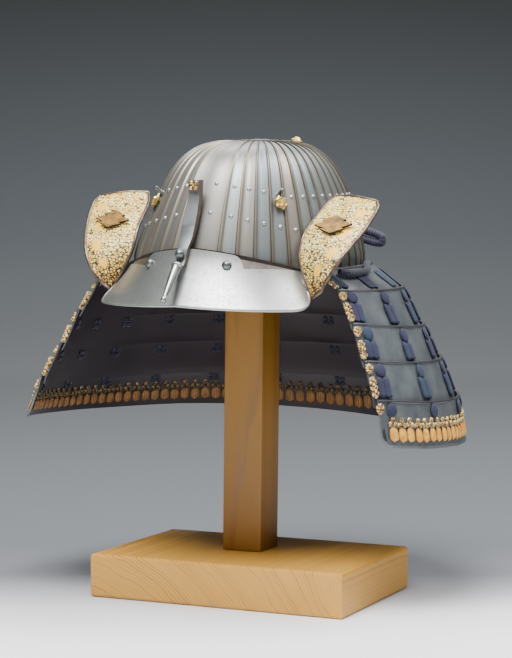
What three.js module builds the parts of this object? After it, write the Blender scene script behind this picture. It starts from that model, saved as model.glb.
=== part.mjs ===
// Kabuto, a ribbed samurai helmet with a laced five-lame neck guard, on a plain wooden stand.
// Millimetres, +Z up, the front faces -Y and the wearer's left is +X.
// The origin is the middle of the underside of the stand's base.
import * as THREE from 'three';
import { mergeVertices } from 'three/addons/utils/BufferGeometryUtils.js';

const rad = THREE.MathUtils.degToRad;
const { lerp, clamp } = THREE.MathUtils;

// ---------------------------------------------------------------- driving dimensions

const GAP = 0.3;                       // clear space kept between neighbouring pieces

const BASE = { width: 280, depth: 182, height: 45, edge: 3 };
const POST = { side: 42, x: -6, y: 9, edge: 2, top: 463 };

// The helmet's own frame has its origin in the middle of the bowl's widest section.
const HELMET = { x: -6, y: 12, z: 352.5, leanForward: 2.2, leanSide: 1.3 };

const BOWL = {
  halfWidth: 114.5, halfLength: 136, height: 118, skirt: 12, wall: 2,
  crownBack: 22,                       // the crown's middle lies this far behind the centre
  crownPower: 3.8, wallPower: 1.3,     // how flat the crown and how full the wall is
  ribs: 42, frontPlate: 51, ribHeight: 2.2, ribWidth: 3.4, holeShare: 0.11,
  ribStart: 0.27, ribFull: 0.5,        // the ribs grow between these shares of the way to the rim
};

const VISOR = {
  wall: 1.8, flareSide: 36, flareFront: 31, flarePower: 1.25,
  endTop: 54.5, endBottom: 49.5, corner: 6, cornerShare: 0.3,
  topFront: 14.5, topEnd: -8, bottom: -41, bottomDip: 4.5,
};
const VISOR_RIVET = { across: 0.175, up: 0.78, radius: 5, height: 4.5 };

// One row for each lame's top edge, from the bowl down, and a last row for the hem:
// half widths to the side and to the back, height, and how much higher the front ends are.
const LAME_EDGES = [
  { side: 120, back: 142, z: -7, rise: 0 },
  { side: 157, back: 164, z: -31, rise: 6 },
  { side: 180, back: 183, z: -70, rise: 14 },
  { side: 199, back: 200, z: -104, rise: 13 },
  { side: 218, back: 218, z: -142, rise: 16 },
  { side: 226, back: 225, z: -184, rise: 16 },
];
const LAME = { wall: 1.6, bead: 1.4, beadHeight: 3, tuck: 4.5, overlap: 7, span: 120, steps: 24, corner: 6 };

// Where the vertical laces hang, in degrees from the back towards the wearer's left.
const LACE_ANGLES = [-108, -90, -72.5, -54.5, -36, -17, 3, 23, 43, 63, 81, 98.9, 116.6];
const LACE = { width: 8, thick: 1.6, tail: 10.4 };
const BRAID = { fromEnd: 1.05, width: 6, thick: 1.8 };
const HEM = { bottom: 4, height: 24, thick: 1.4, endMargin: 2.2 };

// Inner and outer edge of the turnback on the wearer's left, from the tip up.
const TURNBACK = [
  { inner: [112, -97, -34], outer: [119, -96, -31] },
  { inner: [101, -92, -14], outer: [130, -103, -16] },
  { inner: [93.4, -85.2, 6.4], outer: [143, -95, 7] },
  { inner: [94, -72.3, 28.4], outer: [155, -70, 31] },
  { inner: [99.5, -39, 52], outer: [160, -48, 51] },
  { inner: [107, -25, 63], outer: [156, -39, 59] },
];
const TURNBACK_PLATE = { wall: 1.8, rim: 1.6, camber: 3, steps: 5, rows: 10 };
const CREST = { across: 30, high: 19, thick: 1.6, row: 0.62, clear: 2.5 };

// The crest holder is a flat sleeve that bends out over the brow: one row for each section, from
// the top down, with the height and the place of its rear face.
const HOLDER_SIDE = -4.4;
const HOLDER = [
  { z: 80, y: -112, width: 10.5, depth: 10 },
  { z: 62, y: -115.5, width: 12, depth: 8.8 },
  { z: 41, y: -125.2, width: 14, depth: 8.2 },
  { z: 25, y: -134.2, width: 13.5, depth: 6.5 },
  { z: 13, y: -142.4, width: 11, depth: 6.3 },
  { z: 3, y: -147, width: 10.5, depth: 5.6 },
  { z: -2, y: -151, width: 10.5, depth: 6 },
];
const HOLDER_PLATE = { width: 10.6, high: 11, thick: 0.8, z: 74.5, y: -123.8, lean: 7.3 };
const HOLDER_RIVET = { z: 7.8, y: -151.2, radius: 4.7, height: 6.2 };
const PIN = {
  y: -158.9, z: -1.2, tipY: -189.2, tipZ: -35.1,
  collar: 5.6, collarHeight: 2.4, root: 4.4, neck: 1.9, ball: 3,
};

const STUD = { height: 65, length: 10, root: 2.6, tip: 1.3 };
const CUP = { drop: 5, radius: 5.2, depth: 5.5 };
// The plates on which the four studs stand, counted from the front plate to the wearer's left.
const STUD_PLATES = { front_left: 4, rear_left: 17, rear_right: 25, front_right: 38 };
const TEHEN = { radius: 33, petals: 16, notch: 2.5, wall: 1, ring: 13, hole: 8, ringHeight: 0.8, clear: 0.6 };
const BOSS = { x: 40, y: 27, radius: 7, height: 4.2 };

// The tied cord behind the bowl, and the cord end that lies on the first lame.
const BOW = { radius: 4.4, y: 152, z: 27, reach: 95, drop: 15, knot: 11 };
const CORD_KNOT = { x: 111, y: -66, z: 2, radius: 6 };
const STRAND = { radius: 3, lift: 9.6, angles: [113, 108, 100, 93, 86], shares: [0.9, 0.78, 0.8, 0.88, 1.1] };

// ---------------------------------------------------------------- colours and finishes

const FINISH = {
  wood: { color: '#c79a5e', roughness: 0.65, metalness: 0 },
  iron: { color: '#9a9c99', roughness: 0.42, metalness: 0.85 },
  steel: { color: '#b9bcbc', roughness: 0.35, metalness: 0.9 },
  gilt: { color: '#cfa54a', roughness: 0.4, metalness: 0.85 },
  giltLeather: { color: '#d9b970', roughness: 0.5, metalness: 0.35 },
  bronze: { color: '#8a7560', roughness: 0.5, metalness: 0.6 },
  lacquer: { color: '#4b5758', roughness: 0.4, metalness: 0.1 },
  silk: { color: '#2f3350', roughness: 0.8, metalness: 0 },
  goldBraid: { color: '#c79a45', roughness: 0.7, metalness: 0 },
};

function piece(name, geometry, finish) {
  const mesh = new THREE.Mesh(geometry, new THREE.MeshStandardMaterial(FINISH[finish]));
  mesh.name = name;
  return mesh;
}

// ---------------------------------------------------------------- shape helpers

// A box whose corners (u, v, w), each from 0 to 1, are moved to place(u, v, w).
// du x dv has to point along dw, so that the faces keep looking outwards.
function shapedBox(stepsU, stepsV, place) {
  const box = new THREE.BoxGeometry(1, 1, 1, stepsU, stepsV, 1);
  box.deleteAttribute('normal');
  box.deleteAttribute('uv');
  const geometry = mergeVertices(box);
  const corners = geometry.getAttribute('position');
  for (let i = 0; i < corners.count; i += 1) {
    const point = place(corners.getX(i) + 0.5, corners.getY(i) + 0.5, corners.getZ(i) + 0.5);
    corners.setXYZ(i, ...point);
  }
  return geometry;
}

// A turned solid about its own Z axis from rows of [radius, height].
function turned(rows, sides) {
  const profile = rows.map(([radius, height]) => new THREE.Vector2(radius, height));
  return new THREE.LatheGeometry(profile, sides).rotateX(Math.PI / 2);
}

// A block with rounded upright edges and small bevels, standing on z = 0.
function roundedBlock(width, depth, height, edge) {
  const x = width / 2 - edge;
  const y = depth / 2 - edge;
  const outline = new THREE.Shape();
  outline.moveTo(-x, -y);
  outline.lineTo(x, -y);
  outline.lineTo(x, y);
  outline.lineTo(-x, y);
  const bevel = { bevelEnabled: true, bevelSize: edge, bevelThickness: edge, bevelSegments: 2 };
  const block = new THREE.ExtrudeGeometry(outline, { depth: height - 2 * edge, ...bevel });
  return block.translate(0, 0, edge);
}

// A round cord through the given points.
function cord(points, radius, steps) {
  const route = new THREE.CatmullRomCurve3(points.map((p) => new THREE.Vector3(...p)));
  const section = new THREE.Shape();
  section.absarc(0, 0, radius, 0, 2 * Math.PI);
  return new THREE.ExtrudeGeometry(section, { steps, curveSegments: 4, extrudePath: route });
}

// Turns a piece made along +Z so that it points along a direction, and moves it to a point.
function aim(mesh, point, direction) {
  mesh.position.set(...point);
  mesh.quaternion.setFromUnitVectors(new THREE.Vector3(0, 0, 1), direction.clone().normalize());
  return mesh;
}

function interpolateRows(rows, share, read) {
  const at = share * (rows.length - 1);
  const i = Math.min(Math.floor(at), rows.length - 2);
  return lerp(read(rows[i]), read(rows[i + 1]), at - i);
}

// ---------------------------------------------------------------- bowl

// The bowl's widest section, run anticlockwise from the front, by length along it.
const RIM = new THREE.EllipseCurve(
  0, 0, BOWL.halfWidth, BOWL.halfLength, -Math.PI / 2, 1.5 * Math.PI, false, 0,
);
RIM.arcLengthDivisions = 720;
const RIM_LENGTH = RIM.getLength();

// A point of the smooth dome: turn is 0 at the crown's middle and 90 degrees at the rim.
function domePoint(along, turn) {
  const rim = RIM.getPointAt(THREE.MathUtils.euclideanModulo(along / RIM_LENGTH, 1));
  const share = Math.sin(turn) ** (2 / BOWL.crownPower);
  const x = share * rim.x;
  const y = BOWL.crownBack + share * (rim.y - BOWL.crownBack);
  const z = BOWL.height * Math.max(Math.cos(turn), 0) ** (2 / BOWL.wallPower);
  return new THREE.Vector3(x, y, z);
}

function domeNormal(along, turn) {
  const step = 0.01;
  const low = Math.min(turn, Math.PI / 2 - step);
  const down = domePoint(along, low + step).sub(domePoint(along, low - step / 2));
  const around = domePoint(along + 1, low).sub(domePoint(along - 1, low));
  return down.cross(around).normalize();
}

function bowlPoint(along, turn, lift) {
  return domePoint(along, turn).addScaledVector(domeNormal(along, turn), lift);
}

// Rib i stands at this length along the rim. The wide front plate lies between the last rib and
// the first, which comes round again as number BOWL.ribs.
function ribAlong(i) {
  if (i >= BOWL.ribs) return RIM_LENGTH + ribAlong(i - BOWL.ribs);
  return BOWL.frontPlate / 2 + (i * (RIM_LENGTH - BOWL.frontPlate)) / (BOWL.ribs - 1);
}

// The middle of plate n, counted from the front plate towards the wearer's left, at a height.
function onPlate(n, height, lift) {
  const along = ribAlong(n - 1) / 2 + ribAlong(n) / 2;
  const turn = Math.acos((height / BOWL.height) ** (BOWL.wallPower / 2));
  return { point: bowlPoint(along, turn, lift), normal: domeNormal(along, turn) };
}

// The heights at which the dome is divided, as turns from the crown.
const BOWL_ROWS = [20, 36, 52, 70].map(rad);

function bowl() {
  const turnAtHole = Math.asin(BOWL.holeShare ** (BOWL.crownPower / 2));
  const rim = Math.PI / 2;
  const wallRow = (turn, outer) => ({ turn, outer, skirt: false });
  const rows = [
    ...[turnAtHole, ...BOWL_ROWS, rim].map((turn) => wallRow(turn, false)),
    { turn: rim, outer: false, skirt: true },
    { turn: rim, outer: true, skirt: true },
    ...[rim, ...BOWL_ROWS.toReversed(), rad(6), turnAtHole].map((turn) => wallRow(turn, true)),
  ];
  // A plain ring turned first: one profile point for each row, three columns for each rib.
  const profile = rows.map((row, i) => {
    const a = (2 * Math.PI * i) / rows.length;
    return new THREE.Vector2(3 - Math.cos(a), -Math.sin(a));
  });
  profile.push(profile[0].clone());
  const columnsPerRib = 3;
  const columns = BOWL.ribs * columnsPerRib;
  const geometry = new THREE.LatheGeometry(profile, columns);
  const corners = geometry.getAttribute('position');
  for (let i = 0; i < corners.count; i += 1) {
    const row = rows[(i % profile.length) % rows.length];
    const column = Math.floor(i / profile.length) % columns;
    const rib = Math.floor(column / columnsPerRib);
    const place = column % columnsPerRib;        // 0 crest, 1 its left foot, 2 the next rib's right foot
    const share = Math.sin(row.turn) ** (2 / BOWL.crownPower);
    const foot = BOWL.ribWidth / 2 / Math.max(share, 0.3);
    const along = [ribAlong(rib), ribAlong(rib) + foot, ribAlong(rib + 1) - foot][place];
    const grown = clamp((share - BOWL.ribStart) / (BOWL.ribFull - BOWL.ribStart), 0, 1);
    const crest = place === 0 ? BOWL.ribHeight * grown : 0;
    const point = bowlPoint(along, row.turn, row.outer ? crest : -BOWL.wall);
    if (row.skirt) point.z = -BOWL.skirt;
    corners.setXYZ(i, point.x, point.y, point.z);
  }
  geometry.deleteAttribute('normal');
  geometry.deleteAttribute('uv');
  return mergeVertices(geometry);
}

// The share of the way from the crown's middle to the rim of a point x, y from the middle.
function shareFromCrown(x, y) {
  const a = (x / BOWL.halfWidth) ** 2 + (y / BOWL.halfLength) ** 2;
  const b = (y * BOWL.crownBack) / BOWL.halfLength ** 2;
  const c = (BOWL.crownBack / BOWL.halfLength) ** 2 - 1;
  return a / (Math.sqrt(b * b - a * c) - b);
}

function heightOverCrown(x, y) {
  const share = shareFromCrown(x, y);
  return BOWL.height * (1 - share ** BOWL.crownPower) ** (1 / BOWL.wallPower);
}

// The lobed plate round the hole in the crown, shaped to the dome.
function tehenPlate() {
  const { radius, petals, notch, wall, ring, hole, ringHeight, clear } = TEHEN;
  const rim = wall + ringHeight;
  const rows = [[hole, 0], [ring, 0], [radius, 0], [radius, wall], [ring, wall], [ring - 1, rim],
    [hole, rim], [hole, 0]];
  const plate = turned(rows, petals * 2);
  const corners = plate.getAttribute('position');
  for (let i = 0; i < corners.count; i += 1) {
    const x = corners.getX(i);
    const y = corners.getY(i);
    const out = Math.hypot(x, y);
    const inNotch = Math.abs(Math.cos((Math.atan2(y, x) * petals) / 2));
    const reach = out > ring + 1 ? 1 - (notch * inNotch) / out : 1;
    const height = heightOverCrown(x * reach, y * reach) + clear + corners.getZ(i);
    corners.setXYZ(i, x * reach, y * reach + BOWL.crownBack, height);
  }
  plate.deleteAttribute('normal');
  plate.deleteAttribute('uv');
  return mergeVertices(plate);
}

// ---------------------------------------------------------------- fittings of the bowl

function stud() {
  const { length, root, tip } = STUD;
  return turned([[0, 0], [root, 0], [root * 0.8, length * 0.3], [tip, length * 0.85], [0, length]], 7);
}

function cup() {
  const { radius, depth } = CUP;
  return turned([[0, 0], [radius * 0.7, 0], [radius, depth * 0.5], [radius * 0.8, depth],
    [radius * 0.4, depth * 0.8], [0, depth * 0.8]], 8);
}

function studsAndCups() {
  return Object.entries(STUD_PLATES).flatMap(([where, plate]) => {
    const at = onPlate(plate, STUD.height, GAP);
    const below = onPlate(plate, STUD.height - CUP.drop - CUP.radius, GAP);
    return [
      aim(piece(`stud_${where}`, stud(), 'steel'), at.point, at.normal),
      aim(piece(`cup_${where}`, cup(), 'gilt'), below.point, below.normal),
    ];
  });
}

function domeHead(radius, height) {
  return turned([[0, 0], [radius, 0], [radius, height * 0.4], [radius * 0.6, height * 0.9], [0, height]], 10);
}

// A turned solid of round outline, like a pulled-tight knot.
function knot(radius, height) {
  const rows = [-90, -50, -15, 20, 55, 90].map((turn) => [
    radius * Math.cos(rad(turn)), (height * (1 + Math.sin(rad(turn)))) / 2,
  ]);
  rows[0][0] = 0;
  rows[rows.length - 1][0] = 0;
  return turned(rows, 10);
}

function crownBoss() {
  const { x, y, radius, height } = BOSS;
  const z = heightOverCrown(x, y - BOWL.crownBack) + GAP;
  const head = piece('crown_boss', domeHead(radius, height), 'gilt');
  return aim(head, [x, y, z + BOWL.ribHeight], new THREE.Vector3(0.3, 0, 1));
}

// ---------------------------------------------------------------- visor and crest holder

// A peak that flares from the bowl's brow; u runs from the wearer's right to the left, v upwards.
function visorPoint(u, v, lift) {
  const inCorner = Math.max(0, 1 - v / VISOR.cornerShare);
  const rounding = VISOR.corner * (1 - Math.sqrt(1 - inCorner ** 2));
  const azimuth = rad((2 * u - 1) * (lerp(VISOR.endBottom, VISOR.endTop, v) - rounding));
  const top = lerp(VISOR.topFront, VISOR.topEnd, Math.abs(2 * u - 1) ** 1.5);
  const bottom = VISOR.bottom - VISOR.bottomDip * Math.sin(2 * Math.abs(azimuth));
  const stand = BOWL.ribHeight + GAP + lift;
  const flare = (1 - v) ** VISOR.flarePower;
  const a = BOWL.halfWidth + stand + VISOR.flareSide * flare;
  const b = BOWL.halfLength + stand + VISOR.flareFront * flare;
  return new THREE.Vector3(a * Math.sin(azimuth), -b * Math.cos(azimuth), lerp(bottom, top, v));
}

function visor() {
  return shapedBox(24, 5, (u, v, w) => visorPoint(u, v ** 1.2, w * VISOR.wall));
}

function onVisor(u, v) {
  const step = 0.01;
  const across = visorPoint(u + step, v, 0).sub(visorPoint(u - step, v, 0));
  const up = visorPoint(u, v + step, 0).sub(visorPoint(u, v - step, 0));
  return { point: visorPoint(u, v, VISOR.wall + GAP + 0.3), normal: across.cross(up).normalize() };
}

function visorRivets() {
  return [['left', 1], ['right', -1]].map(([where, side]) => {
    const at = onVisor(0.5 + side * VISOR_RIVET.across, VISOR_RIVET.up);
    const head = domeHead(VISOR_RIVET.radius, VISOR_RIVET.height);
    return aim(piece(`visor_rivet_${where}`, head, 'steel'), at.point, at.normal);
  });
}

function crestHolder() {
  const last = HOLDER.length - 1;
  return shapedBox(1, last, (u, v, w) => {
    const { z, y, width, depth } = HOLDER[Math.round((1 - v) * last)];
    return [HOLDER_SIDE + (u - 0.5) * width, y - w * depth, z];
  });
}

// The gilt plate at the top of the sleeve, the ball rivet near its foot and the pin below it.
function holderFittings() {
  const { width, high, thick, lean } = HOLDER_PLATE;
  const plate = piece('holder_plate', new THREE.BoxGeometry(width, thick, high), 'gilt');
  plate.position.set(HOLDER_SIDE, HOLDER_PLATE.y, HOLDER_PLATE.z);
  plate.rotation.x = -rad(lean);
  const rivet = piece('holder_rivet', domeHead(HOLDER_RIVET.radius, HOLDER_RIVET.height), 'steel');
  aim(rivet, [HOLDER_SIDE, HOLDER_RIVET.y, HOLDER_RIVET.z], new THREE.Vector3(0, -0.93, 0.37));
  const { collar, collarHeight, root, neck, ball } = PIN;
  const down = new THREE.Vector3(0, PIN.tipY - PIN.y, PIN.tipZ - PIN.z);
  const length = down.length();
  const rows = [[0, 0], [collar, 0], [collar, collarHeight], [root, collarHeight + 1],
    [neck, length * 0.82], [ball, length * 0.92], [ball * 0.7, length - 1], [0, length]];
  const pin = aim(piece('holder_pin', turned(rows, 10), 'steel'), [HOLDER_SIDE, PIN.y, PIN.z], down);
  return [plate, rivet, pin];
}

// ---------------------------------------------------------------- turnbacks

function turnbackPoint(side, u, v, lift) {
  const at = (edge, axis) => {
    const curve = new THREE.CatmullRomCurve3(TURNBACK.map((row) => new THREE.Vector3(...row[edge])));
    return curve.getPoint(v)[axis];
  };
  const camber = 4 * u * (1 - u) * TURNBACK_PLATE.camber;
  const out = new THREE.Vector3(-0.28, -0.68, 0.68).multiplyScalar(lift + camber);
  const [x, y, z] = ['x', 'y', 'z'].map((axis) => lerp(at('inner', axis), at('outer', axis), u) + out[axis]);
  return [side * x, y, z];
}

function turnback(side) {
  const { wall, rim, steps, rows } = TURNBACK_PLATE;
  return shapedBox(steps, rows, (u, v, w) => {
    const across = side > 0 ? u : 1 - u;
    const onEdge = u < 0.01 || u > 0.99 || v < 0.01 || v > 0.99;
    return turnbackPoint(side, across, v, w * (wall + (onEdge ? rim : 0)));
  });
}

// A stepped lozenge standing just clear of the turnback's face.
function crest(side, where) {
  const { across, high, thick, row } = CREST;
  const half = [[1, 0.12], [0.66, 0.12], [0.66, 0.5], [0.3, 0.5], [0.3, 0.86], [0, 1]];
  const outline = new THREE.Shape();
  const quarter = (sx, sy) => half.map(([x, y]) => new THREE.Vector2((sx * x * across) / 2, (sy * y * high) / 2));
  outline.setFromPoints([...quarter(1, 1), ...quarter(-1, 1).reverse().slice(1), ...quarter(-1, -1),
    ...quarter(1, -1).reverse().slice(1)]);
  const badge = piece(`crest_${where}`,
    new THREE.ExtrudeGeometry(outline, { depth: thick, bevelEnabled: false }), 'bronze');
  const [x, y, z] = turnbackPoint(side, 0.5, row, TURNBACK_PLATE.wall + CREST.clear);
  const right = new THREE.Vector3(...turnbackPoint(side, 0.9, row, 0))
    .sub(new THREE.Vector3(...turnbackPoint(side, 0.1, row, 0))).multiplyScalar(side).normalize();
  const up = new THREE.Vector3(...turnbackPoint(side, 0.5, row + 0.1, 0))
    .sub(new THREE.Vector3(...turnbackPoint(side, 0.5, row - 0.1, 0)));
  const normal = right.clone().cross(up).normalize();
  badge.quaternion.setFromRotationMatrix(
    new THREE.Matrix4().makeBasis(right, normal.clone().cross(right), normal),
  );
  badge.position.set(x, y, z);
  return badge;
}

// ---------------------------------------------------------------- neck guard

// How much of the front rise applies at an angle measured from the back, in degrees.
function frontRise(angle) {
  return clamp((Math.abs(angle) - 55) / (LAME.span - 55), 0, 1) ** 2;
}

// The cross-section of lame n as half widths and height, from its hidden lower edge up to its top.
function lameSection(n) {
  const top = LAME_EDGES[n];
  const low = LAME_EDGES[n + 1];
  const isHem = n === LAME_EDGES.length - 2;
  const next = isHem ? low : LAME_EDGES[n + 2];
  const tuck = isHem ? 0 : LAME.tuck;
  const run = isHem ? 0 : LAME.overlap / (low.z - next.z);
  const foot = { side: low.side - tuck, back: low.back - tuck, z: low.z, rise: low.rise };
  return [
    { side: foot.side + run * (next.side - low.side), back: foot.back + run * (next.back - low.back),
      z: foot.z - run * (low.z - next.z), rise: foot.rise },
    foot,
    top,
  ];
}

// A point of lame n: share 0 is the hidden edge, footShare the next lame's top, and 1 its own top.
const FOOT_SHARE = 0.16;

function lamePoint(n, angle, share, lift) {
  const [end, foot, top] = lameSection(n);
  const low = share < FOOT_SHARE ? end : foot;
  const high = share < FOOT_SHARE ? foot : top;
  const t = share < FOOT_SHARE ? share / FOOT_SHARE : (share - FOOT_SHARE) / (1 - FOOT_SHARE);
  const read = (key) => lerp(low[key], high[key], t);
  const a = rad(angle);
  const z = read('z') + read('rise') * frontRise(angle);
  return [(read('side') + lift) * Math.sin(a), (read('back') + lift) * Math.cos(a), z];
}

// The same, but on the flat facets between the lame's own columns.
function facetPoint(n, angle, share, lift) {
  const step = (2 * LAME.span) / LAME.steps;
  const column = clamp(Math.floor((angle + LAME.span) / step), 0, LAME.steps - 1);
  const from = column * step - LAME.span;
  const before = new THREE.Vector3(...lamePoint(n, from, share, lift));
  const after = new THREE.Vector3(...lamePoint(n, from + step, share, lift));
  return before.lerp(after, (angle - from) / step);
}

function lame(n) {
  const isHem = n === LAME_EDGES.length - 2;
  const beadShare = 1 - LAME.beadHeight / (LAME_EDGES[n].z - LAME_EDGES[n + 1].z);
  const shares = isHem ? [0, 0.08, 0.2, beadShare, 1] : [0, FOOT_SHARE, beadShare, beadShare + 0.01, 1];
  return shapedBox(LAME.steps, shares.length - 1, (u, v, w) => {
    const share = shares[Math.round(v * (shares.length - 1))];
    const corner = isHem ? Math.max(0, 1 - share / 0.25) : 0;
    const span = LAME.span - LAME.corner * 0.5 * corner ** 2;
    const bead = share > beadShare ? LAME.bead : 0;
    return lamePoint(n, (1 - 2 * u) * span, share, w * (LAME.wall + bead));
  });
}

// The steps that a lace or a braid takes down the lames from the first one given, clear of every
// raised edge, in order from the bottom up.
function lacePath(first, tail) {
  const clear = LAME.wall + GAP + 0.5;
  const hem = LAME_EDGES.length - 2;
  const path = [];
  for (let n = first; n <= hem; n += 1) {
    const drop = LAME_EDGES[n].z - LAME_EDGES[n + 1].z;
    const overEdge = n > first ? LAME.bead : 0;
    if (n > first) path.push({ n, share: 0.99, lift: clear + overEdge + 0.2 });
    path.push({ n, share: 1 - (LAME.beadHeight + 2) / drop, lift: clear + overEdge * 0.6 });
    const low = n === hem ? 1 - (LAME.beadHeight + tail) / drop : FOOT_SHARE * 2;
    path.push({ n, share: low, lift: clear });
  }
  return path.reverse();
}

// A flat band that hangs at an angle along such a path.
function strip(angle, width, thick, path) {
  const last = path.length - 1;
  return shapedBox(1, last, (u, v, w) => {
    const { n, share, lift } = path[Math.round(v * last)];
    const spread = THREE.MathUtils.radToDeg(width / LAME_EDGES[n + 1].side);
    return lamePoint(n, angle + (0.5 - u) * spread, share, lift + w * thick);
  });
}

// The band of hem tabs, on the lame's own columns but ending short of its front edges.
function hemStrip(isOuter) {
  const n = LAME_EDGES.length - 2;
  const drop = LAME_EDGES[n].z - LAME_EDGES[n + 1].z;
  const end = LAME.span - HEM.endMargin;
  return shapedBox(LAME.steps, 1, (u, v, w) => {
    const angle = clamp((1 - 2 * u) * LAME.span, -end, end);
    const share = (HEM.bottom + v * HEM.height) / drop;
    const lift = isOuter ? LAME.wall + 2 * GAP + w * HEM.thick : -2 * GAP - (1 - w) * HEM.thick;
    return facetPoint(n, angle, share, lift);
  });
}

function neckGuard() {
  const lames = LAME_EDGES.slice(0, -1).map((row, n) => piece(`lame_${n + 1}`, lame(n), 'lacquer'));
  const laces = LACE_ANGLES.map((angle, i) => (
    piece(`lace_${i + 1}`, strip(angle, LACE.width, LACE.thick, lacePath(0, LACE.tail)), 'silk')
  ));
  const braids = [['right', -1], ['left', 1]].map(([where, side]) => {
    const angle = side * (LAME.span - BRAID.fromEnd);
    const path = lacePath(1, LACE.tail);
    return piece(`edge_braid_${where}`, strip(angle, BRAID.width, BRAID.thick, path), 'goldBraid');
  });
  const hems = [piece('hem_tabs_outer', hemStrip(true), 'gilt'), piece('hem_tabs_inner', hemStrip(false), 'gilt')];
  return [...lames, ...laces, ...braids, ...hems];
}

// ---------------------------------------------------------------- cords

// One side of the bow: out from the knot, round the end and back just below.
function bowLoop(side) {
  const { radius, y, z, reach, drop } = BOW;
  const start = side * (BOW.knot + GAP + 0.5);
  const apart = radius + 0.4;
  return cord([
    [start, y, z + apart], [side * reach * 0.5, y - 1, z + apart - drop * 0.4],
    [side * (reach - 7), y - 3, z + apart - drop], [side * reach, y - 3, z - drop - 1],
    [side * (reach - 7), y - 3, z - apart - drop], [side * reach * 0.5, y - 1, z - apart - drop * 0.4],
    [start, y, z - apart],
  ], radius, 14);
}

function cords() {
  const bowKnot = piece('bow_knot', knot(BOW.knot, BOW.knot * 1.4), 'silk');
  aim(bowKnot, [0, BOW.y - BOW.knot * 0.7, BOW.z], new THREE.Vector3(0, 1, 0));
  const tie = piece('cord_knot', knot(CORD_KNOT.radius, CORD_KNOT.radius * 1.6), 'silk');
  aim(tie, [CORD_KNOT.x, CORD_KNOT.y, CORD_KNOT.z], new THREE.Vector3(0.9, -0.4, 0));
  const points = STRAND.angles.map((angle, i) => lamePoint(0, angle, STRAND.shares[i], STRAND.lift));
  const loops = [['left', 1], ['right', -1]].map(([where, side]) => (
    piece(`bow_loop_${where}`, bowLoop(side), 'silk')
  ));
  return [bowKnot, ...loops, tie, piece('cord_strand', cord(points, STRAND.radius, 10), 'silk')];
}

// ---------------------------------------------------------------- assembly

function helmet() {
  const group = new THREE.Group();
  group.position.set(HELMET.x, HELMET.y, HELMET.z);
  group.rotation.set(rad(HELMET.leanForward), rad(HELMET.leanSide), 0);
  group.add(piece('bowl', bowl(), 'iron'), piece('tehen_plate', tehenPlate(), 'gilt'), crownBoss());
  group.add(...studsAndCups());
  group.add(piece('visor', visor(), 'iron'), ...visorRivets());
  group.add(piece('crest_holder', crestHolder(), 'steel'), ...holderFittings());
  for (const [where, side] of [['left', 1], ['right', -1]]) {
    group.add(piece(`turnback_${where}`, turnback(side), 'giltLeather'), crest(side, where));
  }
  group.add(...neckGuard(), ...cords());
  return group;
}

function stand() {
  const base = piece('stand_base', roundedBlock(BASE.width, BASE.depth, BASE.height, BASE.edge), 'wood');
  const height = POST.top - BASE.height - GAP;
  const post = piece('stand_post', roundedBlock(POST.side, POST.side, height, POST.edge), 'wood');
  post.position.set(POST.x, POST.y, BASE.height + GAP);
  return [base, post];
}

const kabuto = new THREE.Group();
kabuto.add(...stand(), helmet());

export default kabuto;
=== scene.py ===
# A kabuto, a ribbed samurai helmet with a laced neck guard, on its plain wooden stand.
# The shapes are worked out in millimetres and end up in metres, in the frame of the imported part.
import random
from math import acos, asin, cos, degrees, floor, hypot, pi, radians, sin, sqrt

import bmesh
import bpy
from mathutils import Matrix, Vector


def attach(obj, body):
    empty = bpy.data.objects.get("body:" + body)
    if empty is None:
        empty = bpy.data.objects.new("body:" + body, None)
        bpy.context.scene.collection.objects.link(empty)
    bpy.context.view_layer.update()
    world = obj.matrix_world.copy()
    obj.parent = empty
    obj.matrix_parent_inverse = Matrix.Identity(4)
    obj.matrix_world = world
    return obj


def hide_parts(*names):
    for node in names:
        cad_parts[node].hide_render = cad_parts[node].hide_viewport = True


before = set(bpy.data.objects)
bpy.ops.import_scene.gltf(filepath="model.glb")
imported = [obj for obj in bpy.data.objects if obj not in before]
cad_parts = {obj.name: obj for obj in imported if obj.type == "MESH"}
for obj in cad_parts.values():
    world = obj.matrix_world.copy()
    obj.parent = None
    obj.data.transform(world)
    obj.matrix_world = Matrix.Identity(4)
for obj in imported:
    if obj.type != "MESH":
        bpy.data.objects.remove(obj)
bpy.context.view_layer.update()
MM = 0.001

# ------------------------------------------------------------------ the helmet's dimensions, in mm

HELMET_AT = (-6, 12, 352.5)          # the middle of the bowl's widest section
LEAN_FORWARD, LEAN_SIDE = 2.2, 1.3   # degrees

# The bowl is a dome with a superellipse for its section, over a straight skirt. Its crown lies
# behind the middle, with a small opening at a share of the way out.
HALF_WIDTH, HALF_LENGTH, BOWL_HEIGHT, SKIRT, BOWL_WALL = 114.5, 136, 118, 12, 2
CROWN_BACK, CROWN_POWER, WALL_POWER, HOLE_SHARE = 22, 3.8, 1.3, 0.11
RIBS, FRONT_PLATE, RIB_HEIGHT = 42, 51, 2.3
RIB_START, RIB_FULL = 0.15, 0.3      # shares of the way out at which the ribs begin and are full
SHOULDER_IN, SHOULDER_SPREAD = 0.055, 0.45       # how far the front shoulder is drawn in, and how widely

# Half widths to the side and to the back, height and front rise of each lame's top edge, then the hem.
LAME_EDGES = [(120, 142, -7, 0), (157, 164, -31, 6), (180, 183, -70, 14), (199, 200, -104, 13),
              (218, 218, -142, 16), (226, 225, -184, 16)]
# A lame covers LAME_SPAN degrees each way from the back. Its foot tucks in behind the next lame's top
# edge, which has a raised line, and overlaps it.
LAME_WALL, LAME_SPAN, LAME_TUCK, LAME_OVERLAP = 1.6, 120, 4.5, 7
BEAD_HEIGHT, BEAD_OUT = 1.8, 1.2
HEM = len(LAME_EDGES) - 2
FOOT = 0.16                          # the share of a lame's height that the next lame hides
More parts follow.
